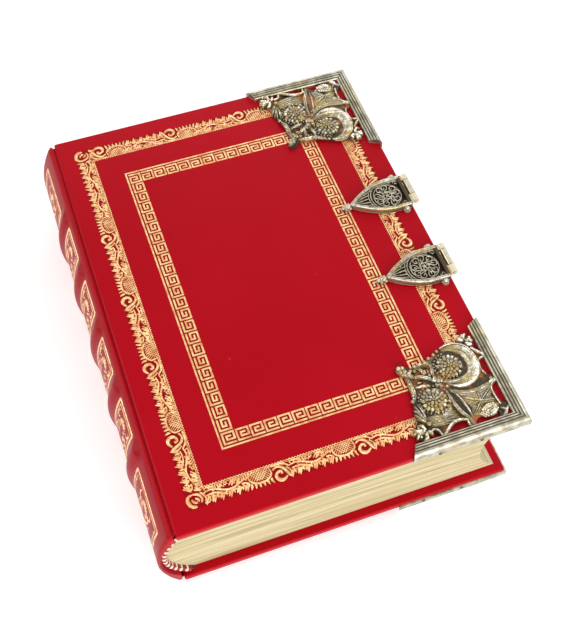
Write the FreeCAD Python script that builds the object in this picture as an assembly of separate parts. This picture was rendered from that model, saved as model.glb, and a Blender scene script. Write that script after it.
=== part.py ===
import FreeCAD, Part
import math
import os

V = FreeCAD.Vector

# A closed book bound in red leather over boards, lying on its lower cover.
# X runs from the spine to the fore-edge, Y from the tail to the head, Z up, in millimetres.
# The origin is at the bottom centre of the whole book.

# Covers and book block
cover_width = 154.0
cover_height = 215.0
board_core = 2.2
cover_leather = 0.8
cover_round = 0.9
pastedown_paper = 0.6
pastedown_margin = 5.5
pastedown_joint_margin = 3.0
square = 4.0
block_thickness = 46.0
block_clearance = 0.2
block_corner_inset = 6.0
block_spine_round = 11.4
fore_edge_hollow = 10.8

# Spine and joints
joint_gap = 2.0
spine_bulge = 7.6
spine_leather_wall = 0.9
shoulder_radius = 2.5
shoulder_reach = 1.0
shoulder_drop = 0.4
lip_length = 0.2
spine_end_inset = 0.7
cap_depth = 5.8
band_count = 5
band_pitch = 32.0
band_width = 10.0
band_height = 1.6
band_half_angle = 25.0
headband_width = 2.4
headband_length = 5.5
headband_proud = 1.5
headband_fit = 0.1

# Corner mounts: an L moulding with a flange, and a casting inside it
frame_arm = 51.0
frame_slant = 2.0
frame_width = 5.2
frame_height = 2.8
flange_wall = 0.9
flange_depth = 2.2
casting_plate = 1.0
casting_relief = 3.0
rosette_relief = 3.8
rosette_radius = 5.7
rosette_near = 21.4
rosette_far = 34.2
collar_inner = 6.1
collar_outer = 7.3
collar_height = 2.0
rosette_shank_radius = 0.8
rosette_shank_depth = 2.4
nail_head_radius = 0.9
nail_head_height = 0.5
nail_radius = 0.45
nail_length = 6.0
nail_drop = 1.1
nail_places = [22.0, 41.0]

# Clasps
clasp_spacing = 44.0
shield_length = 28.6
shield_start = 0.9
shield_half_width = 9.2
shield_shoulder = 8.5
shield_wall = 1.5
shield_height = 2.9
shield_floor = 0.6
filigree_plate = 0.5
filigree_wire = 0.6
filigree_wire_height = 0.9
filigree_big_ring = 5.6
filigree_small_ring = 2.4
filigree_ring_place = 9.8
lug_radius = 1.7
lug_height = 1.0
bead_radius = 1.2
rivet_radius = 0.6
hinge_out = 1.9
hinge_up = 1.0
knuckle_radius = 1.7
knuckle_gap = 0.3
hinge_pin_radius = 0.8
hinge_running_clearance = 0.05
shield_knuckle_tail = 4.2
strap_knuckle = 8.7
shield_knuckle_head = 3.0
hinge_pin_end = 0.4
strap_wall = 1.2
strap_width = 11.0
strap_waist = 7.0
strap_neck = 1.0
strap_flare = 2.5
strap_head_length = 10.0
strap_fork_length = 13.0
strap_taper = 4.0
strap_chamfer = 2.0
strap_rib = 0.7
strap_end_lift = 0.4
catch_plate_wall = 0.8
catch_plate_half_width = 6.0
catch_plate_margin = 0.4
peg_radius = 1.4
peg_clearance = 0.3
peg_reach = 4.0
peg_shank_radius = 0.9
peg_shank_depth = 7.0

# Places that follow from the sizes
cover_thickness = board_core + 2 * cover_leather
reach_back = spine_bulge + band_height
reach_front = joint_gap + cover_width + peg_reach
hinge_x = (reach_back - reach_front) / 2
cover_x = hinge_x + joint_gap
fore_x = cover_x + cover_width
tail_y = -cover_height / 2
lower_face = rosette_relief
lower_inner = lower_face + cover_thickness
block_bottom = lower_inner + block_clearance
block_top = block_bottom + block_thickness
upper_inner = block_top + block_clearance
upper_face = upper_inner + cover_thickness
middle_z = (lower_face + upper_face) / 2
block_height = cover_height - 2 * square
block_x = hinge_x + joint_gap + block_corner_inset
block_fore_x = fore_x - square
spine_length = cover_height - 2 * spine_end_inset
hinge_axis_x = fore_x + hinge_out
hinge_axis_z = upper_face + hinge_up
board_edge_z = lower_face + cover_thickness / 2


def solid_between(face, start, end):
    """A face in an XZ plane at y = 0, drawn out from y = start to y = end."""
    face = face.copy()
    face.translate(V(0, start, 0))
    return face.extrude(V(0, end - start, 0))


def box(x0, x1, y0, y1, z0, z1):
    return Part.makeBox(x1 - x0, y1 - y0, z1 - z0, V(x0, y0, z0))


def polygon_prism(points, z0, z1):
    """A straight-sided plate from a list of (x, y) corners."""
    corners = [V(x, y, z0) for x, y in points]
    face = Part.Face(Part.makePolygon(corners + corners[:1]))
    return face.extrude(V(0, 0, z1 - z0))


def facet_solid(triangles):
    """A closed solid from a list of triangles of vectors."""
    faces = []
    for a, b, c in triangles:
        faces.append(Part.Face(Part.makePolygon([a, b, c, a])))
    shell = Part.makeShell(faces)
    shell.sewShape()
    solid = Part.Solid(shell)
    if solid.Volume < 0:
        solid.reverse()
    return solid


def fused(solids):
    whole = solids[0].multiFuse(solids[1:])
    return whole.removeSplitter()


def arc(a, b, c):
    return Part.Arc(a, b, c).toShape()


# Book block: rounded at the spine, hollow at the fore-edge
half_block = block_thickness / 2
block_radius = (half_block ** 2 + block_spine_round ** 2) / (2 * block_spine_round)
block_left = block_x - block_spine_round
block_centre_x = block_left + block_radius


def text_block():
    low_back = V(block_x, 0, block_bottom)
    high_back = V(block_x, 0, block_top)
    low_front = V(block_fore_x, 0, block_bottom)
    high_front = V(block_fore_x, 0, block_top)
    edges = [
        arc(low_back, V(block_left, 0, middle_z), high_back),
        Part.makeLine(high_back, high_front),
        arc(high_front, V(block_fore_x - fore_edge_hollow, 0, middle_z), low_front),
        Part.makeLine(low_front, low_back),
    ]
    face = Part.Face(Part.Wire(edges))
    return solid_between(face, -block_height / 2, block_height / 2)


def block_zone(offset, start, end):
    """The room right of the block's rounded spine, set out from it by an offset."""
    radius = block_radius + offset
    cylinder = Part.makeCylinder(radius, end - start, V(block_centre_x, start, middle_z), V(0, 1, 0))
    beyond = box(block_centre_x, block_centre_x + radius, start, end, middle_z - radius, middle_z + radius)
    return cylinder.fuse(beyond)


# Spine leather: one rounded shell with a small shoulder at each joint
shell_top = upper_face - shoulder_drop
half_shell = shell_top - middle_z
shoulder_x = hinge_x + shoulder_reach - lip_length
shoulder_run = spine_bulge + shoulder_reach - lip_length
spine_radius = (
    (shoulder_run ** 2 + (half_shell - shoulder_radius) ** 2 - shoulder_radius ** 2)
    / (2 * (shoulder_run - shoulder_radius))
)
spine_centre_x = hinge_x - spine_bulge + spine_radius


def spine_face(inset):
    top = half_shell - inset
    end_x = hinge_x + shoulder_reach
    small = shoulder_radius - inset
    slope = math.atan2(half_shell - shoulder_radius, spine_centre_x - shoulder_x)
    shoulder_z = half_shell - shoulder_radius
    halfway = (slope + math.pi / 2) / 2

    def at(angle, sign):
        x = shoulder_x - small * math.cos(angle)
        return V(x, 0, middle_z + sign * (shoulder_z + small * math.sin(angle)))

    left = V(spine_centre_x - spine_radius + inset, 0, middle_z)
    high = V(end_x, 0, middle_z + top)
    low = V(end_x, 0, middle_z - top)
    edges = [
        Part.makeLine(high, V(shoulder_x, 0, middle_z + top)),
        arc(V(shoulder_x, 0, middle_z + top), at(halfway, 1), at(slope, 1)),
        arc(at(slope, 1), left, at(slope, -1)),
        arc(at(slope, -1), at(halfway, -1), V(shoulder_x, 0, middle_z - top)),
        Part.makeLine(V(shoulder_x, 0, middle_z - top), low),
        Part.makeLine(low, high),
    ]
    return Part.Face(Part.Wire(edges))


def band_ring(y, base, rise, width, half_angle):
    """A low dome section swept round the spine: a ridge or the cord inside it."""
    centre = V(spine_centre_x, y, middle_z)
    foot = spine_centre_x - base
    head = V(foot, y + width / 2, middle_z)
    tail = V(foot, y - width / 2, middle_z)
    edges = [arc(tail, V(foot - rise, y, middle_z), head), Part.makeLine(head, tail)]
    face = Part.Face(Part.Wire(edges))
    face.rotate(centre, V(0, 1, 0), -half_angle)
    return face.revolve(centre, V(0, 1, 0), 2 * half_angle)


band_places = [(k - (band_count - 1) / 2) * band_pitch for k in range(band_count)]
liner_radius = spine_radius - spine_leather_wall
cord_width = band_width - 2 * spine_leather_wall
cord_half_angle = band_half_angle - math.degrees(spine_leather_wall / spine_radius)
bond = 0.2


def band_cord(y):
    return band_ring(y, liner_radius, band_height, cord_width, cord_half_angle)


def spine_leather():
    half = spine_length / 2
    shell = solid_between(spine_face(0), -half, half)
    for y in band_places:
        ridge = band_ring(y, spine_radius - bond, band_height + bond, band_width, band_half_angle)
        shell = shell.fuse(ridge)
    open_half = half - cap_depth
    shell = shell.cut(solid_between(spine_face(spine_leather_wall), -open_half, open_half))
    for y in band_places:
        shell = shell.cut(band_cord(y))
    cap_reach = headband_width + headband_fit
    for start in (-half, open_half):
        shell = shell.cut(block_zone(cap_reach, start - bond, start + cap_depth + bond))
    return shell


def spine_liner():
    half = block_height / 2 + headband_proud - headband_length - headband_fit
    liner = solid_between(spine_face(spine_leather_wall), -half, half)
    level = box(hinge_x - reach_back, hinge_x + shoulder_reach, -half, half, block_bottom, block_top)
    liner = liner.common(level)
    return liner.cut(block_zone(0, -half - bond, half + bond))


def headband(sign):
    """Silk worked over a core, seated on the rounded back of the leaves at one end."""
    outer_end = block_height / 2 + headband_proud
    start = outer_end - headband_length
    ring = block_zone(headband_width, start, outer_end).cut(block_zone(0, start - bond, outer_end + bond))
    level = box(block_left - headband_width, block_x, start, outer_end, block_bottom, block_top)
    band = ring.common(level)
    if sign < 0:
        band = band.mirror(V(0, 0, 0), V(0, 1, 0))
    return band


# Upper cover: board core, leather turned in over its edges, and the pastedown
def upper_core():
    return box(
        cover_x + cover_leather, fore_x - cover_leather,
        tail_y + cover_leather, -tail_y - cover_leather,
        upper_inner + cover_leather, upper_face - cover_leather,
    )


def pastedown_area(depth):
    return box(
        cover_x + pastedown_joint_margin, fore_x - pastedown_margin,
        tail_y + pastedown_margin, -tail_y - pastedown_margin,
        upper_inner + cover_leather - depth, upper_inner + cover_leather,
    )


def upper_leather():
    skin = box(cover_x, fore_x, tail_y, -tail_y, upper_inner, upper_face)
    skin = skin.makeFillet(cover_round, skin.Edges)
    return skin.cut(upper_core()).cut(pastedown_area(cover_leather + bond))


def mirrored_down(shape):
    return shape.mirror(V(0, 0, middle_z), V(0, 0, 1))


def mirrored_to_head(shape):
    return shape.mirror(V(0, 0, 0), V(0, 1, 0))


# Corner mounts, drawn for the upper tail corner and mirrored to the other three.
# a is the distance in from the fore-edge, b from the tail edge, h the height over the leather.
def at_corner(a, b, h):
    return V(fore_x - a, tail_y + b, upper_face + h)


def corner_plate(points, low, high):
    return polygon_prism([(fore_x - a, tail_y + b) for a, b in points], upper_face + low, upper_face + high)


frame_step = frame_height * 0.2
frame_profile = [
    (-flange_wall, -flange_depth),
    (-flange_wall, frame_height - 1.5 * frame_step),
    (-flange_wall * 0.3, frame_height),
    (frame_width * 0.16, frame_height),
    (frame_width * 0.25, frame_height - frame_step),
    (frame_width * 0.34, frame_height - frame_step),
    (frame_width * 0.42, frame_height - frame_step * 0.3),
    (frame_width * 0.56, frame_height - frame_step * 0.3),
    (frame_width * 0.64, frame_height - 1.5 * frame_step),
    (frame_width * 0.72, frame_height - frame_step),
    (frame_width * 0.86, frame_height - 1.3 * frame_step),
    (frame_width, frame_height - 3 * frame_step),
    (frame_width, 0.0),
    (0.0, 0.0),
    (0.0, -flange_depth),
]


def frame_arm_solid(along_tail):
    """One arm of the moulding, mitred at the corner and cut on a slant at its end."""
    def place(d, along, h):
        return at_corner(along, d, h) if along_tail else at_corner(d, along, h)

    start = -flange_wall
    corners = [place(d, start, h) for d, h in frame_profile]
    face = Part.Face(Part.makePolygon(corners + corners[:1]))
    length = frame_arm + frame_slant + flange_wall
    direction = place(0, 1, 0) - place(0, 0, 0)
    arm = face.extrude(direction * length)
    reach = frame_width + frame_arm
    mitre = [(start - 1, start - 1), (reach, reach), (reach, start - 1)]
    slant_end = frame_arm + frame_slant
    slanted = [
        (start - 1, start - 1), (slant_end, start - 1), (slant_end, start),
        (frame_arm, frame_width), (frame_arm, frame_width + 1), (start - 1, frame_width + 1),
    ]
    if not along_tail:
        mitre = [(b, a) for a, b in mitre]
        slanted = [(b, a) for a, b in slanted]
    low = -flange_depth - 1
    high = frame_height + 1
    return arm.common(corner_plate(mitre, low, high)).common(corner_plate(slanted, low, high))


def ring_points(a, b, radius, count, turn=0.0, squash=1.0, lean=0.0):
    points = []
    for k in range(count):
        angle = math.radians(turn + 360.0 * k / count)
        x = radius * math.cos(angle)
        y = radius * squash * math.sin(angle)
        tilt = math.radians(lean)
        points.append((
            a + x * math.cos(tilt) - y * math.sin(tilt),
            b + x * math.sin(tilt) + y * math.cos(tilt),
        ))
    return points


def stacked_rings(rings):
    """A faceted solid through rings of (a, b, h) points, closed flat below and above."""
    count = len(rings[0])
    rings = [[at_corner(*point) for point in ring] for ring in rings]
    triangles = []
    for lower, upper in zip(rings, rings[1:]):
        for k in range(count):
            n = (k + 1) % count
            triangles.append((lower[k], lower[n], upper[n]))
            triangles.append((lower[k], upper[n], upper[k]))
    for k in range(1, count - 1):
        triangles.append((rings[0][0], rings[0][k + 1], rings[0][k]))
        triangles.append((rings[-1][0], rings[-1][k], rings[-1][k + 1]))
    return facet_solid(triangles)


def faceted_dome(a, b, radius, squash, lean, low, high, count=8):
    """A low boss: a pinecone, an acorn or the heart of a curl."""
    steps = [(1.0, 0.0), (0.86, 0.55), (0.45, 0.9), (0.16, 1.0)]
    rings = []
    for share, rise in steps:
        ring = ring_points(a, b, radius * share, count, 0, squash, lean)
        rings.append([(x, y, low + (high - low) * rise) for x, y in ring])
    return stacked_rings(rings)


def crescent(a, b, inner, outer, first, last, low, high, count=7):
    """A leaf bent round a rosette: thin at both tips, with a ridge along its middle."""
    inside = []
    outside = []
    crest = []
    for k in range(count + 1):
        share = k / count
        angle = math.radians(first + (last - first) * share)
        swell = math.sin(math.pi * (0.08 + 0.84 * share))
        width = (outer - inner) * swell
        c, s = math.cos(angle), math.sin(angle)
        inside.append(at_corner(a + inner * c, b + inner * s, low))
        outside.append(at_corner(a + (inner + width) * c, b + (inner + width) * s, low))
        middle = inner + width * 0.55
        crest.append(at_corner(a + middle * c, b + middle * s, low + (high - low) * (0.45 + 0.55 * swell)))
    triangles = []
    for k in range(count):
        n = k + 1
        for left, right in ((inside, crest), (crest, outside), (outside, inside)):
            triangles.append((left[k], left[n], right[n]))
            triangles.append((left[k], right[n], right[k]))
    triangles.append((inside[0], crest[0], outside[0]))
    triangles.append((inside[-1], outside[-1], crest[-1]))
    return facet_solid(triangles)


def leaf_star(points, heart, low, high):
    """A lobed leaf: its lobes rise from the outline to a ridge point in its heart."""
    base = [at_corner(a, b, low) for a, b in points]
    top = at_corner(heart[0], heart[1], high)
    foot = at_corner(heart[0], heart[1], low)
    triangles = []
    for k in range(len(base)):
        n = (k + 1) % len(base)
        triangles.append((base[k], base[n], top))
        triangles.append((base[n], base[k], foot))
    return facet_solid(triangles)


def swapped(points):
    return [(b, a) for a, b in points]


# Outline of the casting's plate along the tail arm, from the strut across the frame's corner
# outwards to the acorn, then repeated the other way round along the fore-edge arm.
solder_reach = 0.6
plate_edge = frame_width - solder_reach
tail_side = [
    (9.0, plate_edge), (10.8, plate_edge), (10.4, 7.6), (12.6, 7.2), (15.4, 8.4),
    (18.4, 8.6), (20.6, plate_edge), (23.6, plate_edge), (24.8, 8.4), (27.6, 10.6), (31.6, 10.8),
    (34.4, 8.2), (35.6, plate_edge), (38.0, plate_edge), (39.2, 7.8), (41.8, 8.4), (43.2, plate_edge),
    (46.0, 5.6), (49.4, 7.8), (49.6, 10.8), (46.6, 13.2), (44.6, 13.6), (45.0, 18.0),
    (43.4, 23.8), (41.6, 25.4), (42.0, 29.6), (39.8, 31.4), (40.6, 35.4), (39.4, 37.4),
    (43.8, 39.4), (45.0, 42.2),
]
pierced_hole = [(34.6, 31.0), (38.2, 31.2), (37.6, 34.4), (35.6, 33.6)]
slot_hole = [(24.2, 14.0), (25.4, 14.6), (26.2, 17.4), (24.4, 21.2), (23.6, 17.6)]


def openwork():
    """The casting: a pierced plate with leaves, curls, a pinecone and an acorn on it."""
    outline = tail_side + list(reversed(swapped(tail_side)))
    plate = corner_plate(outline, 0, casting_plate)
    for hole in (pierced_hole, swapped(pierced_hole), slot_hole, swapped(slot_hole)):
        plate = plate.cut(corner_plate(hole, -1, casting_plate + 1))
    sunk = casting_plate * 0.6
    near, far = rosette_near, rosette_far
    pieces = [
        crescent(far, near, collar_outer - 0.5, 13.2, -165, -20, sunk, casting_relief),
        crescent(near, far, collar_outer - 0.5, 13.2, 255, 110, sunk, casting_relief),
        faceted_dome(12.6, 12.6, 4.9, 0.72, 45, sunk, casting_relief, 10),
        faceted_dome(45.2, 9.4, 3.6, 0.9, 20, sunk, casting_relief * 0.9),
        faceted_dome(9.4, 45.2, 3.6, 0.9, 70, sunk, casting_relief * 0.9),
        faceted_dome(42.6, 40.6, 3.4, 0.62, 45, sunk * 0.5, casting_relief * 0.95),
        faceted_dome(36.4, 37.2, 2.8, 0.8, 45, sunk, casting_relief * 0.75),
        leaf_star(
            [(10.6, 22.6), (13.6, 17.4), (17.4, 13.6), (22.6, 10.6), (22.4, 15.4), (24.4, 18.2),
             (26.6, 24.4), (24.4, 26.6), (18.2, 24.4), (15.4, 22.4)],
            (19.0, 19.0), sunk, casting_relief * 0.85,
        ),
    ]
    for a, b in ((far, near), (near, far)):
        pieces.append(corner_plate(ring_points(a, b, collar_outer, 16), sunk, collar_height))
    whole = fused([plate] + pieces)
    for a, b in ((far, near), (near, far)):
        recess = ring_points(a, b, collar_inner, 16)
        whole = whole.cut(corner_plate(recess, casting_plate, casting_relief + 2))
    return whole


def rosette(a, b):
    """A double row of petals round a flat-topped boss, with its rivet shank below."""
    profile = [
        (rosette_radius, 0.0, 0.0, 0.86),
        (rosette_radius * 0.98, 0.3, 0.1, 0.82),
        (rosette_radius * 0.82, 0.55, 0.3, 1.0),
        (rosette_radius * 0.62, 0.3, 0.3, 1.0),
        (rosette_radius * 0.56, 0.75, 0.45, 0.9),
        (rosette_radius * 0.36, 0.6, 0.5, 1.0),
        (rosette_radius * 0.24, 1.0, 1.0, 1.0),
    ]
    rise = rosette_relief - casting_plate
    rings = []
    for radius, tip, valley, pinch in profile:
        ring = []
        for k, (x, y) in enumerate(ring_points(a, b, 1.0, 16)):
            reach = radius if k % 2 == 0 else radius * pinch
            share = tip if k % 2 == 0 else valley
            ring.append((a + (x - a) * reach, b + (y - b) * reach, casting_plate + rise * share))
        rings.append(ring)
    return fused([stacked_rings(rings), rosette_shank(a, b)])


def rosette_shank(a, b):
    length = casting_plate + rosette_shank_depth + bond
    return Part.makeCylinder(rosette_shank_radius, length, at_corner(a, b, -rosette_shank_depth), V(0, 0, 1))


def nail(place, along_tail):
    """A small round-headed nail driven through the flange into the board's edge."""
    if along_tail:
        spot = at_corner(place, -flange_wall, -nail_drop)
        outward = V(0, -1, 0)
    else:
        spot = at_corner(-flange_wall, place, -nail_drop)
        outward = V(1, 0, 0)
    head = Part.makeCone(nail_head_radius, nail_head_radius * 0.5, nail_head_height, spot, outward)
    shank = Part.makeCylinder(nail_radius, nail_length, spot, outward * -1)
    return head.fuse(shank)


corner_nails = [nail(place, side) for side in (True, False) for place in nail_places]
rosette_spots = [(rosette_far, rosette_near), (rosette_near, rosette_far)]
corner_rosettes = [rosette(a, b) for a, b in rosette_spots]
corner_shanks = [rosette_shank(a, b) for a, b in rosette_spots]


def corner_set():
    """Frame, casting, rosettes and nails of the upper tail corner."""
    frame = fused([frame_arm_solid(True), frame_arm_solid(False)])
    casting = openwork().cut(frame)
    for shank in corner_shanks:
        casting = casting.cut(shank)
    for pin in corner_nails:
        frame = frame.cut(pin)
    return {
        "frame": frame,
        "openwork": casting,
        "rosettes": Part.makeCompound(corner_rosettes),
        "nails": Part.makeCompound(corner_nails),
    }


# Clasps, drawn at the middle of the book and moved to their places.
# a is the distance in from the fore-edge, w the distance from the clasp's middle line.
def at_clasp(a, w, h):
    return V(fore_x - a, w, upper_face + h)


def shield_outline(inset):
    """A pointed arch: flat at the fore-edge, curved in to a tip."""
    tip = at_clasp(shield_start + shield_length - 1.6 * inset, 0, 0)
    half = shield_half_width - inset
    start = shield_start + inset
    edges = []
    previous = tip
    for sign in (1, -1):
        shoulder = at_clasp(shield_shoulder, sign * half, 0)
        span = shield_length + shield_start - shield_shoulder
        bend = at_clasp(shield_shoulder + span * 0.52, sign * half * 0.7, 0)
        corner = at_clasp(start, sign * half * 0.98, 0)
        if sign > 0:
            edges.append(arc(previous, bend, shoulder))
            edges.append(Part.makeLine(shoulder, corner))
            previous = corner
        else:
            edges.append(Part.makeLine(previous, corner))
            edges.append(Part.makeLine(corner, shoulder))
            edges.append(arc(shoulder, bend, tip))
    return Part.Face(Part.Wire(edges))


def raised(face, low, high):
    face = face.copy()
    face.translate(V(0, 0, low))
    return face.extrude(V(0, 0, high - low))


knuckle_run = shield_knuckle_tail + strap_knuckle + shield_knuckle_head + 2 * knuckle_gap
knuckle_start = -knuckle_run / 2 + 1.2
strap_start = knuckle_start + shield_knuckle_tail + knuckle_gap
strap_stop = strap_start + strap_knuckle
knuckle_stop = strap_stop + knuckle_gap + shield_knuckle_head


def hinge_cylinder(radius, start, stop):
    return Part.makeCylinder(radius, stop - start, V(hinge_axis_x, start, hinge_axis_z), V(0, 1, 0))


rivet_places = [
    (shield_start + shield_length + lug_radius * 0.7, 0.0),
    (shield_start + 3.2, shield_half_width + lug_radius * 0.5),
    (shield_start + 3.2, -shield_half_width - lug_radius * 0.5),
]


def clasp_rivet(a, w):
    """A bead head on a shank that goes through the lug and the board to the pastedown."""
    shank_low = -cover_thickness + cover_leather
    shank = Part.makeCylinder(rivet_radius, lug_height - shank_low, at_clasp(a, w, shank_low), V(0, 0, 1))
    head = Part.makeSphere(bead_radius, at_clasp(a, w, lug_height + bead_radius * 0.6))
    flat = box(
        fore_x - a - bead_radius, fore_x - a + bead_radius, w - bead_radius, w + bead_radius,
        upper_face + lug_height - bead_radius, upper_face + lug_height,
    )
    return head.cut(flat).fuse(shank)


def clasp_shield():
    wall = raised(shield_outline(0), 0, shield_height)
    room = raised(shield_outline(shield_wall), shield_floor, shield_height + 1)
    pieces = [wall.cut(room)]
    for a, w in rivet_places:
        pieces.append(Part.makeCylinder(lug_radius, lug_height, at_clasp(a, w, 0), V(0, 0, 1)))
    tab_low = upper_face + hinge_up - knuckle_radius * 0.5
    tab_high = upper_face + hinge_up + knuckle_radius * 0.6
    tab_x = fore_x - shield_start - shield_wall * 0.5
    for start, stop in ((knuckle_start, strap_start - knuckle_gap), (strap_stop + knuckle_gap, knuckle_stop)):
        pieces.append(hinge_cylinder(knuckle_radius, start, stop))
        pieces.append(box(tab_x, hinge_axis_x, start, stop, tab_low, tab_high))
    shield = fused(pieces)
    shield = shield.cut(room)
    shield = shield.cut(hinge_cylinder(hinge_pin_radius, knuckle_start - 1, knuckle_stop + 1))
    for a, w in rivet_places:
        shield = shield.cut(clasp_rivet(a, w))
    return shield


def ring_wire(a, w, radius, sides, low):
    outer = ring_points(a, w, radius + filigree_wire / 2, sides)
    inner = ring_points(a, w, radius - filigree_wire / 2, sides)
    high = low + filigree_wire_height
    base = upper_face + low
    top = upper_face + high
    ring = polygon_prism([(fore_x - x, y) for x, y in outer], base, top)
    return ring.cut(polygon_prism([(fore_x - x, y) for x, y in inner], base - 1, top + 1))


def wire_bar(a0, w0, a1, w1, low):
    length = math.hypot(a1 - a0, w1 - w0)
    across = (-(w1 - w0) / length * filigree_wire / 2, (a1 - a0) / length * filigree_wire / 2)
    corners = [
        (a0 + across[0], w0 + across[1]), (a1 + across[0], w1 + across[1]),
        (a1 - across[0], w1 - across[1]), (a0 - across[0], w0 - across[1]),
    ]
    return polygon_prism(
        [(fore_x - a, w) for a, w in corners], upper_face + low, upper_face + low + filigree_wire_height,
    )


def filigree_panel():
    """A thin ground plate with wirework: two rings, spokes between them and a fan to the tip."""
    low = shield_floor
    plate = raised(shield_outline(shield_wall), low, low + filigree_plate)
    wire_low = low + filigree_plate - bond
    a, w = filigree_ring_place, 0.0
    wires = [
        ring_wire(a, w, filigree_big_ring, 18, wire_low),
        ring_wire(a, w, filigree_small_ring, 12, wire_low),
    ]
    for k in range(8):
        angle = math.radians(45.0 * k + 12)
        c, s = math.cos(angle), math.sin(angle)
        wires.append(wire_bar(
            a + filigree_small_ring * c, w + filigree_small_ring * s,
            a + filigree_big_ring * c, w + filigree_big_ring * s, wire_low,
        ))
    tip = shield_start + shield_length - 1.6 * shield_wall
    for spread in (-0.55, 0.0, 0.55):
        angle = spread
        wires.append(wire_bar(
            a + filigree_big_ring * math.cos(angle), w + filigree_big_ring * math.sin(angle),
            tip - 2.5, spread * 0.6, wire_low,
        ))
    return fused([plate] + wires)


strap_end_z = lower_face + strap_end_lift
strap_middle = (strap_start + strap_stop) / 2


def clasp_strap():
    """The strap: a knuckle, a waisted plate and a forked end over the catch peg."""
    half = strap_width / 2
    waist = strap_waist / 2
    head_z = hinge_axis_z - knuckle_radius - strap_neck
    neck = strap_knuckle / 2
    head_waist_z = head_z - strap_head_length
    fork_waist_z = strap_end_z + strap_fork_length
    outline = [
        (-neck, hinge_axis_z), (-neck, head_z), (-half, head_z - strap_flare),
        (-half, head_waist_z + strap_taper), (-waist, head_waist_z), (-waist, fork_waist_z),
        (-half, fork_waist_z - strap_taper),
        (-half, strap_end_z + strap_chamfer), (-half + strap_chamfer, strap_end_z),
    ]
    mirrored = [(-y, z) for y, z in reversed(outline)]
    x0 = hinge_axis_x - strap_wall / 2
    corners = [V(x0, strap_middle + y, z) for y, z in outline + mirrored]
    plate = Part.Face(Part.makePolygon(corners + corners[:1])).extrude(V(strap_wall, 0, 0))
    knuckle = hinge_cylinder(knuckle_radius, strap_start, strap_stop)
    rib_half = strap_waist * 0.2
    rib = box(
        x0 + strap_wall - bond, x0 + strap_wall + strap_rib, strap_middle - rib_half, strap_middle + rib_half,
        fork_waist_z - strap_rib, head_z - strap_taper,
    )
    strap = fused([plate, knuckle, rib])
    bore = hinge_pin_radius + hinge_running_clearance
    strap = strap.cut(hinge_cylinder(bore, strap_start - 1, strap_stop + 1))
    slot = peg_radius + peg_clearance
    return strap.cut(box(
        x0 - 1, x0 + strap_wall + 1, strap_middle - slot, strap_middle + slot,
        strap_end_z - 1, board_edge_z + slot,
    ))


def catch_plate():
    half = catch_plate_half_width
    plate = box(
        fore_x, fore_x + catch_plate_wall, strap_middle - half, strap_middle + half,
        lower_face + catch_plate_margin, lower_inner - catch_plate_margin,
    )
    return plate.cut(catch_peg())


def catch_peg():
    spot = V(fore_x, strap_middle, board_edge_z)
    neck = Part.makeCylinder(peg_radius, peg_reach - peg_radius * 0.5, spot, V(1, 0, 0))
    tip = Part.makeCone(
        peg_radius, peg_radius * 0.55, peg_radius * 0.5,
        V(fore_x + peg_reach - peg_radius * 0.5, strap_middle, board_edge_z), V(1, 0, 0),
    )
    shank = Part.makeCylinder(peg_shank_radius, peg_shank_depth, spot, V(-1, 0, 0))
    return fused([neck, tip, shank])


def hinge_pin():
    return hinge_cylinder(hinge_pin_radius, knuckle_start - hinge_pin_end, knuckle_stop + hinge_pin_end)


def moved(shape, y):
    copy = shape.copy()
    copy.translate(V(0, y, 0))
    return copy


# The pieces by name
nodes = {
    "text_block": text_block(),
    "spine_leather": spine_leather(),
    "spine_liner": spine_liner(),
    "headband_tail": headband(-1),
    "headband_head": headband(1),
}
for number, y in enumerate(band_places, 1):
    nodes[f"band_cord_{number}"] = band_cord(y)

corner = corner_set()
for name, shape in corner.items():
    nodes[f"corner_{name}_upper_tail"] = shape
    nodes[f"corner_{name}_upper_head"] = mirrored_to_head(shape)
    nodes[f"corner_{name}_lower_tail"] = mirrored_down(shape)
    nodes[f"corner_{name}_lower_head"] = mirrored_down(mirrored_to_head(shape))

clasp = {
    "clasp_shield": clasp_shield(),
    "clasp_filigree": filigree_panel(),
    "clasp_rivets": Part.makeCompound([clasp_rivet(a, w) for a, w in rivet_places]),
    "clasp_pin": hinge_pin(),
    "clasp_strap": clasp_strap(),
    "catch_plate": catch_plate(),
    "catch_peg": catch_peg(),
}
clasp_places = {"tail": -clasp_spacing / 2, "head": clasp_spacing / 2}
for end, y in clasp_places.items():
    for name, shape in clasp.items():
        nodes[f"{name}_{end}"] = moved(shape, y)

fixings = corner_nails + corner_shanks
board_pins = fixings + [mirrored_to_head(pin) for pin in fixings]
upper_pins = list(board_pins)
for y in clasp_places.values():
    upper_pins += [moved(clasp_rivet(a, w), y) for a, w in rivet_places]
lower_pins = [mirrored_down(pin) for pin in board_pins]
lower_pins += [moved(catch_peg(), y) for y in clasp_places.values()]

skin = upper_leather()
core = upper_core()
paper = pastedown_area(pastedown_paper)
nodes["upper_cover_leather"] = skin.cut(Part.makeCompound(upper_pins))
nodes["upper_board"] = core.cut(Part.makeCompound(upper_pins))
nodes["upper_pastedown"] = paper
nodes["lower_cover_leather"] = mirrored_down(skin).cut(Part.makeCompound(lower_pins))
nodes["lower_board"] = mirrored_down(core).cut(Part.makeCompound(lower_pins))
nodes["lower_pastedown"] = mirrored_down(paper)

os.makedirs("parts", exist_ok=True)
for name, shape in nodes.items():
    shape.exportStep(f"parts/{name}.step")
    print(f"{name}: {len(shape.Solids)} solid(s), valid {shape.isValid()}, volume {shape.Volume:.1f}")
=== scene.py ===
"""The looks of a closed book in red leather, with gold tooling, corner mounts and clasps."""
import math
import random

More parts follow.
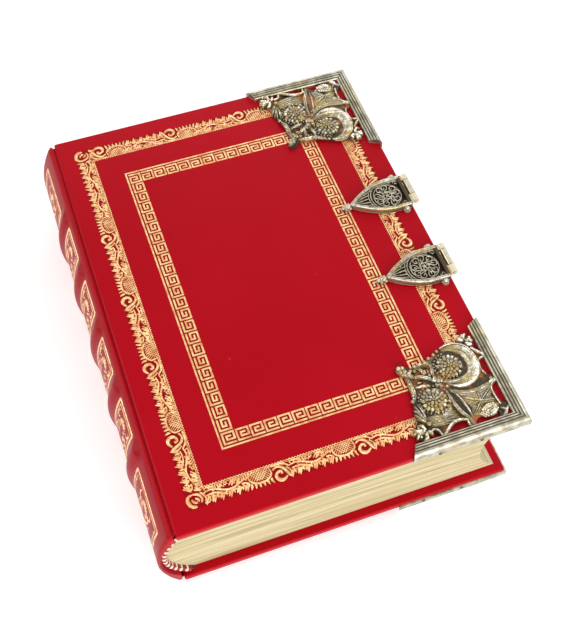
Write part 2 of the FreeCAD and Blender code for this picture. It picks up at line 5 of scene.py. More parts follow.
import bpy
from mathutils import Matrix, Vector


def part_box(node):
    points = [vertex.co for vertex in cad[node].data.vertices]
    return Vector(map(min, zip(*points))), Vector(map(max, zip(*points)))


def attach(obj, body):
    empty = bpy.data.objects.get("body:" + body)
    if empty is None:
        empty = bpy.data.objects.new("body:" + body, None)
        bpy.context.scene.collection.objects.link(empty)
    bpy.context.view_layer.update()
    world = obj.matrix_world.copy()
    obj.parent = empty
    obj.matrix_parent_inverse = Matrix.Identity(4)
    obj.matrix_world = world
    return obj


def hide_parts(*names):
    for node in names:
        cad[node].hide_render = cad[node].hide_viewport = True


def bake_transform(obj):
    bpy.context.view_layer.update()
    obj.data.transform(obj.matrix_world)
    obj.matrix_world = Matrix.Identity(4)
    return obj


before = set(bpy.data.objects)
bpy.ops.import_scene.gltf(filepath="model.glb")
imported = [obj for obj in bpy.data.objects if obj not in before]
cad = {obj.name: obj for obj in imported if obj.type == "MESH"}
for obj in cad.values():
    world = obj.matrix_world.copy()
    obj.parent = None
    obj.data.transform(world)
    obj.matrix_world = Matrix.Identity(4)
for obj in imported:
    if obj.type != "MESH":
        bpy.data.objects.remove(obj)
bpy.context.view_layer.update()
mm = 0.001


# The view. The book lies on its lower cover and is seen from above its tail, a little from
# the spine side, at the distance that the photograph's perspective gives.
bpy.ops.object.camera_add(
    location=(-83.4 * mm, -245.4 * mm, 434.3 * mm),
    rotation=[math.radians(turn) for turn in (32.02, -0.84, -19.69)],
)
camera = bpy.context.object
camera.data.sensor_width = 36
camera.data.lens = 56.64
camera.data.clip_start = 0.01
bpy.context.scene.camera = camera


# The leaves. Rag paper, trimmed, rounded at the back and hollow at the fore-edge: cream, with
# the faint dark lines where gatherings meet, and a little uneven from one gathering to the next.
def paint(red, green, blue):
    """A colour as it looks on a screen, 0 to 255, as the light values a shader takes."""
    values = [channel / 255 for channel in (red, green, blue)]
    values = [v / 12.92 if v <= 0.04045 else ((v + 0.055) / 1.055) ** 2.4 for v in values]
    return (*values, 1.0)


class Tone:
    """A number, a colour or a direction that varies over a surface: one output of a shader node."""

    def __init__(self, socket):
        self.socket = socket

    def node(self, kind, settings, sockets, output=0):
        made = self.socket.id_data.nodes.new("ShaderNode" + kind)
        for name, value in settings.items():
            setattr(made, name, value)
        for name, value in sockets.items():
            if isinstance(value, Tone):
                self.socket.id_data.links.new(value.socket, made.inputs[name])
            else:
                made.inputs[name].default_value = value
        return Tone(made.outputs[output])

    def maths(self, operation, *others):
        return self.node("Math", {"operation": operation}, dict(enumerate((self, *others))))

    def __add__(self, other):
        return self.maths("ADD", other)

    __radd__ = __add__

    def __sub__(self, other):
        return self.maths("SUBTRACT", other)

    def __rsub__(self, other):
        return self.node("Math", {"operation": "SUBTRACT"}, {0: other, 1: self})

    def __mul__(self, other):
        return self.maths("MULTIPLY", other)

    __rmul__ = __mul__

    def __abs__(self):
        return self.maths("ABSOLUTE")

    def axis(self, name):
        """One coordinate of a place, in metres."""
        return self.node("SeparateXYZ", {}, {0: self}, "XYZ".index(name))

    def step(self, low, high):
        """0 below low, 1 above high, and smooth between them."""
        return self.node(
            "MapRange", {"interpolation_type": "SMOOTHSTEP"}, {"Value": self, 1: low, 2: high, 3: 0.0, 4: 1.0}
        )

    def mix(self, first, second):
        """The first colour where this is 0, the second where it is 1."""
        return self.node("Mix", {"data_type": "RGBA"}, {0: self, 6: first, 7: second}, 2)

    def noise(self, scale, detail=3.0, stretch=(1, 1, 1)):
        place = self.node("Mapping", {}, {"Vector": self, "Scale": stretch})
        return self.node("TexNoise", {}, {"Vector": place, "Scale": scale, "Detail": detail})

    def bump(self, distance, strength=1.0):
        return self.node("Bump", {}, {"Height": self, "Distance": distance, "Strength": strength})


class Finish:
    """A material with one glossy surface. Its place is where on the piece a point lies."""

    def __init__(self, name, colour, roughness, metallic=0.0):
        self.material = bpy.data.materials.new(name)
        self.material.use_nodes = True
        tree = self.material.node_tree
        self.surface = tree.nodes["Principled BSDF"]
        self.surface.inputs["Base Color"].default_value = colour
        self.surface.inputs["Roughness"].default_value = roughness
        self.surface.inputs["Metallic"].default_value = metallic
        self.place = Tone(tree.nodes.new("ShaderNodeTexCoord").outputs["Object"])

    def feed(self, name, tone):
        self.material.node_tree.links.new(tone.socket, self.surface.inputs[name])

    def stored(self, name):
        """A number that the piece carries at each of its points."""
        source = self.material.node_tree.nodes.new("ShaderNodeAttribute")
        source.attribute_name = name
        return Tone(source.outputs["Fac"])

    def on(self, *pieces):
        for piece in pieces:
            piece.data.materials.clear()
            piece.data.materials.append(self.material)


block_low, block_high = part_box("text_block")
leaf_lines = 46
leaves = Finish("leaves", paint(230, 216, 170), 0.75)
drift = leaves.place.noise(9, 2.0, (1, 1, 6))
gathering = leaves.place.axis("Z") * (leaf_lines / (block_high.z - block_low.z)) + drift * 1.6
line = gathering.maths("PINGPONG", 0.5).step(0.0, 0.13)
fine = leaves.place.noise(60, 3.0, (0.3, 0.3, 60))
stain = leaves.place.noise(30, 4.0, (1, 1, 5)).step(0.35, 0.75)
streak = leaves.place.noise(420, 4.0, (0.03, 0.03, 1)).step(0.38, 0.62)
paper = stain.mix(streak.mix(paint(188, 174, 128), paint(228, 219, 184)), paint(214, 199, 156))
lined = line.mix(paint(150, 134, 96), (1, 1, 1, 1))
tinted = fine.step(0.2, 0.8).mix(paint(205, 190, 160), (1, 1, 1, 1))
for share, shade in ((0.75, lined), (0.6, tinted)):
    paper = paper.node("Mix", {"data_type": "RGBA", "blend_type": "MULTIPLY"}, {0: share, 6: paper, 7: shade},
        2)
leaves.feed("Base Color", paper)
leaves.feed("Normal", (line + fine * 0.8).bump(0.12 * mm, 0.7))
leaves.on(cad["text_block"])


# The cover leather. Goatskin, polished almost smooth, pared thin and drawn over the boards:
# a deep red that is a little deeper between the gold lines.
def near_frame(place, left, right, half, band, soft=0.4 * mm):
    """1 on a band inside the edge of a rectangle of tooling, 0 away from it."""
    centre_x = (left + right) / 2
    half_x = (right - left) / 2
    inside = (half_x - abs(place.axis("X") - centre_x)).maths("MINIMUM", half - abs(place.axis("Y")))
    return inside.step(-soft, soft) * (band - inside).step(-soft, soft)


roll_left, roll_right, roll_half, roll_band = -65.3 * mm, 71.1 * mm, 98.5 * mm, 8.6 * mm
key_left, key_right, key_half, key_band = -45.0 * mm, 50.5 * mm, 77.7 * mm, 7.2 * mm
upper_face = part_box("upper_cover_leather")[1].z
leather = Finish("red_leather", paint(176, 2, 22), 0.34)
leather.surface.inputs["Specular IOR Level"].default_value = 0.1
cloudy = leather.place.noise(14, 3.0).step(0.25, 0.8)
dyed = cloudy.mix(paint(172, 0, 18), paint(180, 2, 24))
speck = leather.place.node("TexVoronoi", {}, {"Vector": leather.place, "Scale": 55.0}, 0)
speck = (0.045 - speck).step(0.0, 0.02)
dyed = (speck * 0.35).mix(dyed, paint(214, 70, 72))
tooled = near_frame(leather.place, roll_left, roll_right, roll_half, roll_band)
tooled = tooled.maths("MAXIMUM", near_frame(leather.place, key_left, key_right, key_half, key_band))
tooled = tooled * leather.place.axis("Z").step(upper_face - 0.4 * mm, upper_face - 0.2 * mm)
across = leather.place.axis("X")
joint_x = -74.1 * mm
# Painted shade: the joint's groove and the whole spine are painted a darker red, where shade falls.
groove = (0.75 * mm - abs(across - joint_x)).step(0.0, 0.5 * mm)
shade = (1 - across.step(-77 * mm, -75 * mm)) * 0.4 + groove * 0.6
dyed = (tooled * 0.7).mix(dyed, paint(128, 6, 12))
leather.feed("Base Color", shade.mix(dyed, paint(120, 0, 14)))
grain = leather.place.noise(1500, 3.0)
pores = leather.place.node("TexVoronoi", {}, {"Vector": leather.place, "Scale": 1100.0}, 0)
leather.feed("Roughness", 0.3 + 0.12 * leather.place.noise(120, 3.0))
leather.feed("Normal", (grain + pores * 0.7).bump(0.025 * mm, 0.35))
leather.on(cad["upper_cover_leather"], cad["lower_cover_leather"])


# The gold tooling on the upper cover. Gold leaf pressed in with hot brass tools, as thin as the
# leather's own grain: an outer roll of scrolls and leaves, and a Greek key inside it.
foil_rise = 0.05 * mm
foil_sunk = 0.03 * mm
gold = Finish("gold_leaf", paint(248, 216, 160), 0.4, metallic=0.6)
wear_and_light = gold.place.noise(420, 4.0)
gold.feed("Base Color", wear_and_light.step(0.3, 0.65).mix(paint(222, 152, 96), paint(250, 212, 152)))
gold.feed("Roughness", 0.28 + 0.2 * gold.place.noise(900, 2.0))
gold.feed("Normal", gold.place.noise(1300, 2.0).bump(0.02 * mm, 0.4))


def fresh():
    """Nothing selected, so that the next tool works on its own piece alone."""
    bpy.ops.object.select_all(action="DESELECT")


def alone(piece):
    """This piece selected and active, and no other."""
    fresh()
    piece.select_set(True)
    bpy.context.view_layer.objects.active = piece


def outward(piece):
    """Turns the outside of every face of a closed piece outwards."""
    alone(piece)
    bpy.ops.object.mode_set(mode="EDIT")
    bpy.ops.mesh.select_all(action="SELECT")
    bpy.ops.mesh.normals_make_consistent(inside=False)
    bpy.ops.object.mode_set(mode="OBJECT")
    return piece


def joined(name, pieces):
    """One piece made of several."""
    alone(pieces[0])
    for piece in pieces:
        piece.select_set(True)
    bpy.ops.object.join()
    pieces[0].name = name
    return pieces[0]


def gold_bars(name, bars, z):
    """Flat gold bars, each from low x, y to high x, y, joined as one piece on the leather."""
    fresh()
    bpy.ops.mesh.primitive_plane_add(size=1, location=(0, 0, 0))
    piece = bpy.context.object
    piece.name = name
    corners = []
    faces = []
    for x0, y0, x1, y1 in bars:
        first = len(corners)
        corners += [(x0, y0, z), (x1, y0, z), (x1, y1, z), (x0, y1, z)]
        faces.append([first, first + 1, first + 2, first + 3])
    piece.data.clear_geometry()
    piece.data.from_pydata(corners, [], faces)
    bpy.ops.object.mode_set(mode="EDIT")
    bpy.ops.mesh.select_all(action="SELECT")
    bpy.ops.mesh.extrude_region_move(TRANSFORM_OT_translate={"value": (0, 0, -foil_rise - foil_sunk)})
    bpy.ops.object.mode_set(mode="OBJECT")
    return outward(piece)


key_line = 0.75 * mm
key_gap = 0.75 * mm
key_unit = 5.7 * mm
key_stroke = 0.82 * mm
key_pitch = (key_unit - key_stroke) / 3


def key_square(length):
    """One unit of the Greek key, as bars in a square whose corner is at 0, 0."""
    s = key_stroke
    p = key_pitch
    wide = (length - s) / 3
    return [
        (0, 0, length, s), (0, s, s, 3 * p + s), (s, 3 * p, length, 3 * p + s),
        (length - s, p, length, 3 * p), (wide, p, length - s, p + s),
        (wide, p + s, wide + s, 2 * p + s), (wide + s, 2 * p, 2 * wide + s, 2 * p + s),
    ]


def key_border():
    left, right = key_left, key_right
    low, high = -key_half, key_half
    bars = [
        (left, low, right, low + key_line), (left, high - key_line, right, high),
        (left, low + key_line, left + key_line, high - key_line),
        (right - key_line, low + key_line, right, high - key_line),
    ]
    margin = key_line + key_gap
    left, right, low, high = left + margin, right - margin, low + margin, high - margin
    unit = key_unit + key_stroke * 0.75
    across = round((right - left) / unit)
    pitch_x = (right - left + unit - key_unit) / across
    along = round((high - low) / unit) - 2
    pitch_y = (high - low - 2 * key_unit - (unit - key_unit)) / along
    for k in range(across):
        for x0, y0, x1, y1 in key_square(key_unit):
            bars.append((left + k * pitch_x + x0, low + y0, left + k * pitch_x + x1, low + y1))
            bars.append((right - k * pitch_x - x1, high - y1, right - k * pitch_x - x0, high - y0))
    start = low + key_unit + (unit - key_unit)
    for k in range(along):
        for x0, y0, x1, y1 in key_square(key_unit):
            bars.append((left + y0, start + k * pitch_y + x0, left + y1, start + k * pitch_y + x1))
            bars.append((right - y1, -start - k * pitch_y - x1, right - y0, -start - k * pitch_y - x0))
    return bars


key = gold_bars("tooling_greek_key", key_border(), upper_face + foil_rise)
gold.on(key)
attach(key, "upper_cover")


# The outer roll, a brass wheel's worth of leaves, a chequered arch and two curls, over and over,
# along each side from corner to corner. Its inner edge is a fine wavy line, its outer a fringe.
def add_line(drawn, points):
    """Adds a smooth line to a curve. Each point is x, y, height and thickness."""
    line = drawn.splines.new("BEZIER")
    line.bezier_points.add(len(points) - 1)
    for knot, (x, y, z, thickness) in zip(line.bezier_points, points):
        knot.co = (x, y, z)
        knot.radius = thickness
        knot.handle_left_type = knot.handle_right_type = "AUTO" if len(points) > 2 else "VECTOR"
    return line


def as_mesh(name, drawn):
    """The mesh of a drawn curve, as a piece."""
    piece = bpy.data.objects.new(name, drawn)
    bpy.context.collection.objects.link(piece)
    alone(piece)
    bpy.ops.object.convert(target="MESH")
    return piece


def thick_lines(name, lines, depth, roundness, smooth):
    """Closed lines of changing thickness, as one mesh."""
    drawn = bpy.data.curves.new(name, "CURVE")
    drawn.dimensions = "3D"
    drawn.bevel_depth = depth
    drawn.bevel_resolution = roundness
    drawn.resolution_u = smooth
    drawn.use_fill_caps = True
    for points in lines:
        add_line(drawn, points)
    return as_mesh(name, drawn)


def gold_lines(name, lines, smooth=3):
    """Gold lines along curves, each a list of x, y and width in millimetres, as one flat mesh."""
    placed = [[(x * mm, y * mm, 0, width) for x, y, width in points] for points in lines]
    piece = thick_lines(name, placed, 0.5 * mm, 0, smooth)
    for vertex in piece.data.vertices:
        level = vertex.co.z
        vertex.co.z = foil_rise if level > 0.02 * mm else -foil_sunk if level < 0 else 0.0
    return piece


def leaf_run():
    """19 mm of the roll: a waving stem with leaves to both sides, a flower and small tendrils."""
    lines = [
        [(0, 3.2, 0.9), (3, 2.5, 1.1), (6.5, 3.6, 1.2), (10, 4.9, 1.2), (13.5, 4.4, 1.1), (17, 2.9, 1.1),
            (19, 2.7, 0.8)],
        [(0.8, 4.7, 0.8), (4, 4.3, 1.1), (7, 5.4, 1.2), (9.4, 6.6, 0.8)],
        [(10.6, 3.3, 0.7), (12.4, 1.8, 1.1), (14.8, 2.0, 1.1), (15.0, 3.4, 0.8), (13.6, 3.5, 0.8)],
        [(0.6, 1.5, 0.8), (2.6, 1.3, 1.0), (4.4, 1.9, 0.7)],
        [(15.8, 4.4, 0.9), (17.8, 4.7, 1.1), (18.8, 6.0, 0.9), (17.6, 6.7, 0.8)],
        [(3.4, 5.6, 0.8), (5.4, 6.3, 1.0), (7.0, 7.3, 0.7)],
        [(10.2, 6.2, 0.8), (12.2, 5.6, 1.0), (14.6, 5.9, 0.9), (16.4, 6.6, 0.6)],
    ]
    for k in range(11):
        s = 0.7 + 1.72 * k
        lean = 0.55 if k % 2 else -0.35
        reach = (8.6, 8.0, 8.5, 7.7)[k % 4]
        lines.append([(s + 0.9, 5.6, 1.1), (s + 0.25 + lean, 7.0, 1.5), (s - 0.35 + lean, reach, 0.5)])
        lines.append([(s + 0.1, 5.4, 0.7), (s - 0.55, 6.5, 0.9), (s - 0.35, 7.3, 0.5)])
    for k in range(8):
        s = 3.6 + 2.0 * k
        if k not in (2, 3):
            lines.append([(s, 3.7, 1.0), (s + 0.9, 2.6, 1.25), (s + 0.6, 1.4, 0.6)])
            lines.append([(s + 1.3, 3.4, 0.6), (s + 1.7, 2.3, 0.9), (s + 1.5, 1.5, 0.5)])
    for k in range(10):
        s = 1.0 + 1.85 * k
        lines.append([(s, 4.5 + 0.5 * (k % 2), 0.7), (s + 0.8, 5.3, 1.05), (s + 0.5, 6.1, 0.6)])
        if abs(s - 8.2) > 1.6:
            lines.append([(s + 0.1, 2.5, 0.5), (s - 0.5, 1.9, 0.8), (s + 0.1, 1.6, 0.5)])
    for k in range(6):
        turn = math.radians(60 * k + 20)
        c, s = math.cos(turn), math.sin(turn)
        lines.append([(8.4 + 0.4 * c, 2.1 + 0.4 * s, 0.7), (8.4 + 1.35 * c, 2.1 + 1.2 * s, 1.0)])
    return [[(x, y, width * 0.84) for x, y, width in line] for line in lines]


def arch_and_curls():
    """17 mm of the roll: an arch filled with crossed lines, then a C curl locked in an S curl."""
    lines = [
        [(0.5, 1.4, 0.7), (0.1, 4.2, 0.9), (2.0, 6.0, 1.1), (4.8, 6.5, 1.1), (7.6, 6.0, 1.1), (9.5, 4.2, 0.9),
            (9.0, 1.4, 0.7)],
        [(15.6, 7.2, 1.0), (13.9, 8.4, 1.6), (11.9, 8.1, 2.0), (10.9, 6.3, 1.8), (12.0, 4.6, 1.4),
            (13.6, 4.5, 1.5), (13.8, 5.8, 1.2)],
        [(17.8, 8.2, 0.8), (16.6, 7.2, 1.7), (15.6, 5.0, 1.6), (14.2, 3.0, 1.5), (12.0, 2.2, 1.2),
            (10.4, 3.2, 1.0)],
        [(10.0, 1.3, 0.8), (12.8, 1.1, 0.9), (15.4, 1.5, 1.1), (17.4, 3.2, 0.9)],
        [(16.2, 3.4, 0.8), (17.4, 4.8, 0.9), (17.6, 6.2, 0.6)],
    ]
    for k in range(8):
        low = 0.6 + 1.15 * k
        for way in (1, -1):
            far = low + way * 3.6
            reach = 1.0 if 0.4 < far < 9.2 else (9.0 - low if way > 0 else low - 0.5) / 3.6
            if reach > 0.15:
                lines.append([(low, 1.4, 0.46), (low + way * 3.6 * reach, 1.4 + 4.2 * reach, 0.46)])
    for k in range(6):
        s = 0.5 + 1.7 * k
        lines.append([(s + 0.1, 6.2, 1.1), (s, 7.2, 1.3), (s + 0.25 * (k - 2.5), 8.5, 0.5)])
    return lines


def wavy_edge(length):
    """The roll's inner edge: a fine wave, and a thin straight line beside it."""
    wave = 0.62
    return [
        [(wave * k, 0.3 + 0.55 * (k % 2), 0.62) for k in range(int(length / wave) + 1)],
        [(0.0, 1.25, 0.3), (length, 1.25, 0.3)],
    ]


leaf_length, arch_length = 19.0, 17.4
leaf_stamp = gold_lines("leaf_stamp", leaf_run() + wavy_edge(leaf_length), 2)
arch_stamp = gold_lines("arch_stamp", arch_and_curls() + wavy_edge(arch_length), 2)


def copy_of(first, name, place):
    """A copy of a piece, with each of its points where place puts it."""
    piece = first.copy()
    piece.data = first.data.copy()
    piece.name = name
    bpy.context.collection.objects.link(piece)
    for vertex in piece.data.vertices:
        vertex.co = place(*vertex.co)
    return piece


def stamped(stamp, start, along, stretch=1.0):
    """A copy of a stamp, laid from a start point along a direction, its inner edge to the left."""
    turn = math.atan2(along[1], along[0])
    c, s = math.cos(turn), math.sin(turn)
    return copy_of(stamp, "stamp", lambda x, y, z: (
        start[0] + x * stretch * c + y * s, start[1] + x * stretch * s - y * c, z + upper_face
    ))


corner_run = 7.5
inner_left, inner_right = roll_left + roll_band, roll_right - roll_band
inner_half = roll_half - roll_band
short_run = (roll_right - roll_left) / mm - 2 * corner_run
long_run = 2 * roll_half / mm - 2 * corner_run
stamps = []
sides = [
    ((roll_left + corner_run * mm, -inner_half), (1, 0), short_run, 0.0),
    ((inner_right, -roll_half + corner_run * mm), (0, 1), long_run, 17.0),
    ((roll_right - corner_run * mm, inner_half), (-1, 0), short_run, 12.0),
    ((inner_left, roll_half - corner_run * mm), (0, -1), long_run, 17.0),
]
for (x, y), (ax, ay), length, lead in sides:
    reached = 0.0
    if lead:
        stamps.append(stamped(leaf_stamp, (x, y), (ax, ay), lead / leaf_length))
        reached = lead
    while length - reached > 8:
        for stamp, run in ((leaf_stamp, leaf_length), (arch_stamp, arch_length)):
            left_over = length - reached
            share = 1.0 if left_over > run * 1.35 else left_over / run
            if left_over > 6:
                spot = (x + ax * reached * mm, y + ay * reached * mm)
                stamps.append(stamped(stamp, spot, (ax, ay), share))
                reached += run * share
curl = [
    [(-0.6, 2.6, 0.8), (-2.6, 1.9, 1.6), (-3.1, -0.4, 2.0), (-2.0, -2.5, 1.8), (0.1, -3.0, 1.0)],
    [(-0.6, 2.6, 0.9), (1.6, 1.8, 1.4), (2.7, -0.2, 1.2), (2.2, -1.8, 0.8)],
    [(-1.4, 0.4, 1.0), (-0.7, -0.9, 1.5), (0.6, -1.4, 1.0)],
    [(0.2, 0.6, 1.0), (1.2, -0.2, 1.3), (1.4, -1.2, 0.6)],
    [(2.6, 2.6, 0.8), (3.8, 1.0, 1.4), (4.4, -0.8, 0.9)],
    [(0.6, 4.2, 0.8), (2.2, 3.8, 1.3), (3.6, 3.4, 0.8)],
    [(3.4, -2.4, 0.9), (4.8, -2.7, 0.7), (6.2, -1.8, 0.6)],
    [(-0.4, 4.0, 0.7), (-2.2, 5.2, 0.8), (-2.7, 7.0, 0.6)],
]
curl_inset = 3.6
for x, flip in ((roll_left, 1), (roll_right, -1)):
    for sign in (-1, 1):
        lines = []
        for line in curl:
            lines.append([
                (x / mm + flip * (curl_inset + px), sign * (roll_half / mm - curl_inset - py), width)
                for px, py, width in line
            ])
        knot = gold_lines("corner_curl", lines, 4)
        for vertex in knot.data.vertices:
            vertex.co.z += upper_face
        stamps.append(knot)
bpy.data.objects.remove(leaf_stamp)
bpy.data.objects.remove(arch_stamp)
roll = outward(joined("tooling_outer_roll", stamps))
gold.on(roll)
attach(roll, "upper_cover")


# The spine leather. One skin over the rounded back, 0.9 mm thick, worked down between the five
# bands and rolled over the ends of the back into caps. The shoulders turn into the two joints.
spine_low, spine_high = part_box("spine_leather")
spine_half = spine_high.y
middle_z = (spine_low.z + spine_high.z) / 2
band_rise, band_half = 1.6 * mm, 6.2 * mm
band_places = [32 * mm * k for k in (-2, -1, 0, 1, 2)]
back_radius = 54.67 * mm
back_centre = spine_low.x + band_rise + back_radius
back_run = 26.25 * mm
shoulder_radius = 2.5 * mm
shoulder_x = -74.6 * mm
shoulder_up = 24.1 * mm
spine_run = back_run + (math.pi / 2 - back_run / back_radius - 0.01) * shoulder_radius
cap_radius = 31.4 * mm
cap_centre = -49.9 * mm


def band_swell(s, y):
    """How far a band lifts the leather at s along the back's curve and y along the book."""
    lift = 0.0
    for place in band_places:
        away = abs(y - place)
        if away < band_half:
            lift += band_rise * math.cos(math.pi * away / (2 * band_half)) ** 2
    fade = min(max((26.6 * mm - abs(s)) / (4.0 * mm), 0), 1)
    return lift * fade * fade * (3 - 2 * fade)


def on_spine(s, y, lift=0.0):
    """The place on the spine leather at s up or down the back's curve, and lift above it."""
    side = 1 if s >= 0 else -1
    if abs(s) <= back_run:
        turn = abs(s) / back_radius
        radius, centre_x, centre_z = back_radius, back_centre, 0.0
    else:
        turn = back_run / back_radius + (abs(s) - back_run) / shoulder_radius
        radius, centre_x, centre_z = shoulder_radius, shoulder_x, shoulder_up
    out = radius + lift + band_swell(s, y)
    return Vector((centre_x - out * math.cos(turn), y, middle_z + side * (centre_z + out * math.sin(turn))))


def rounded(to_end, radius):
    """How far an edge rounded off with a radius has dropped, at a distance from its end."""
    return radius - math.sqrt(max(radius ** 2 - max(radius - to_end, 0) ** 2, 0))


skin = 0.9 * mm
turned_in_depth = 5.8 * mm
cap_front = -74.3 * mm
fresh()
bpy.ops.mesh.primitive_grid_add(x_subdivisions=72, y_subdivisions=230, size=2)
spine = bpy.context.object
spine.name = "spine_skin"
places = [(vertex.co.x * spine_run, vertex.co.y * spine_half) for vertex in spine.data.vertices]
for vertex, (s, y) in zip(spine.data.vertices, places):
    vertex.co = on_spine(s, y, -rounded(spine_half - abs(y), 0.8 * mm))
bpy.ops.object.modifier_add(type="SOLIDIFY")
spine.modifiers[0].thickness = skin
spine.modifiers[0].offset = -1
bpy.ops.object.modifier_apply(modifier=spine.modifiers[0].name)
for vertex, (s, y) in zip(spine.data.vertices[len(places):], places):
    to_end = spine_half - abs(y)
    if to_end < turned_in_depth:
        outer = on_spine(s, y)
        away = Vector((outer.x - cap_centre, 0, outer.z - middle_z)).normalized()
        inner = Vector((cap_centre, y, middle_z)) + away * (cap_radius + rounded(to_end, 0.7 * mm))
        vertex.co = (min(inner.x, cap_front), y, inner.z)
outward(spine)
bpy.ops.object.shade_smooth_by_angle(angle=math.radians(50))
leather.on(spine)
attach(spine, "book_block")
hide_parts("spine_leather")


# The panels between the bands: a double gold rim round a sprig of scrolls, a flower at its heart
# and a fan of petals at each end, rubbed thin over the shoulders.
def spine_panel(length, half):
    """A panel as lines: x runs along the book, y round the back, in millimetres."""
    end = length / 2
    lines = []
    for inset, width in ((0.0, 1.5), (1.75, 0.6)):
        a, b = end - inset, half - inset
        loop = [(a, b), (-a, b), (-a, -b), (a, -b), (a, b)]
        for (x0, y0), (x1, y1) in zip(loop, loop[1:]):
            steps = max(int(math.hypot(x1 - x0, y1 - y0) / 2), 2)
            lines.append([
                (x0 + (x1 - x0) * k / steps, y0 + (y1 - y0) * k / steps, width) for k in range(steps + 1)
            ])
    for k in range(8):
        turn = math.radians(45 * k)
        c, s = math.cos(turn), math.sin(turn)
        lines.append([(0.7 * c, 0.7 * s, 0.6), (1.9 * c, 1.9 * s, 1.3), (2.9 * c, 2.9 * s, 0.4)])
    for sy in (1, -1):
        for k in range(7):
            turn = math.radians(-66 + 22 * k)
            c, s = math.cos(turn), math.sin(turn)
            reach = 4.6 - 0.25 * abs(k - 3)
            lines.append([
                (1.0 * s, sy * (half - 8.0 + 1.0 * c), 0.5),
                    (reach * 0.62 * s, sy * (half - 8.0 + reach * 0.62 * c), 1.15),
                (reach * s, sy * (half - 8.0 + reach * c), 0.45),
            ])
        for sx in (1, -1):
            flip = [(sx * 0.8, 3.6), (sx * 3.4, 5.6), (sx * 5.6, 8.4), (sx * 5.2, 11.2), (sx * 3.0, 11.6),
                (sx * 2.6, 9.8), (sx * 4.0, 9.4)]
            lines.append([(x, sy * y, 1.15 - 0.08 * k) for k, (x, y) in enumerate(flip)])
            lines.append([(sx * 6.0, sy * (half - 3.2), 0.5), (sx * 7.0, sy * (half - 5.4), 1.0),
                (sx * 5.6, sy * (half - 7.4), 0.9), (sx * 4.4, sy * (half - 6.2), 0.5)])
            lines.append([(sx * 6.9, sy * 1.0, 0.5), (sx * 5.2, sy * 2.0, 1.0), (sx * 3.6, sy * 1.4, 0.5)])
            lines.append([(sx * 7.2, sy * 4.2, 0.5), (sx * 6.8, sy * 6.2, 0.9), (sx * 7.4, sy * 8.2, 0.4)])
            for k in range(4):
                spot = 3.4 + 3.7 * k
                lines.append([(sx * (end - 2.3), sy * spot, 0.9), (sx * (end - 2.3), sy * (spot + 0.5), 0.9)])
    for k in range(5):
        for sx in (1, -1):
            for sy in (1, -1):
                x, y = sx * (1.6 + 1.7 * (k % 2)), sy * (3.2 + 2.6 * k)
                if abs(y) < half - 9:
                    lines.append([(x, y, 0.7), (x + sx * 1.5, y + sy * 0.9, 1.2),
                        (x + sx * 2.1, y + sy * 2.3, 0.6)])
    return [[(x, y, width * 1.35) for x, y, width in line] for line in lines[:8]] + [
        [(x, y, width * 1.6) for x, y, width in line] for line in lines[8:]
    ]


panels = []
ends = [-spine_half] + band_places + [spine_half]
for k in range(6):
    low = ends[k] + (6.6 * mm if k else 7.0 * mm)
    high = ends[k + 1] - (6.6 * mm if k < 5 else 7.0 * mm)
    half = 23.4 if 0 < k < 5 else 19.5
    stamp = gold_lines("spine_panel", spine_panel((high - low) / mm, half), 3)
    for vertex in stamp.data.vertices:
        lift = 0.06 * mm if vertex.co.z > 0 else -foil_sunk
        vertex.co = on_spine(vertex.co.y, (low + high) / 2 + vertex.co.x, lift)
    panels.append(stamp)
spine_gilt = outward(joined("tooling_spine_panels", panels))
rubbed_gold = Finish("rubbed_gold", paint(222, 164, 112), 0.4, metallic=0.5)
thin = rubbed_gold.place.noise(300, 5.0).step(0.3, 0.56)
rubbed_gold.feed("Base Color", thin.mix(paint(214, 132, 96), paint(252, 214, 158)))
rubbed_gold.feed("Metallic", 0.3 + thin * 0.25)
rubbed_gold.feed("Normal", rubbed_gold.place.noise(1200, 2.0).bump(0.02 * mm, 0.5))
rubbed_gold.on(spine_gilt)
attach(spine_gilt, "book_block")


# The joints. The same skin runs on from the spine's shoulder through a narrow groove and over the
# board's rounded edge; where it is turned in at the tail it has puckered into small creases.
strip_thickness = 0.45 * mm
crease_reach = 9


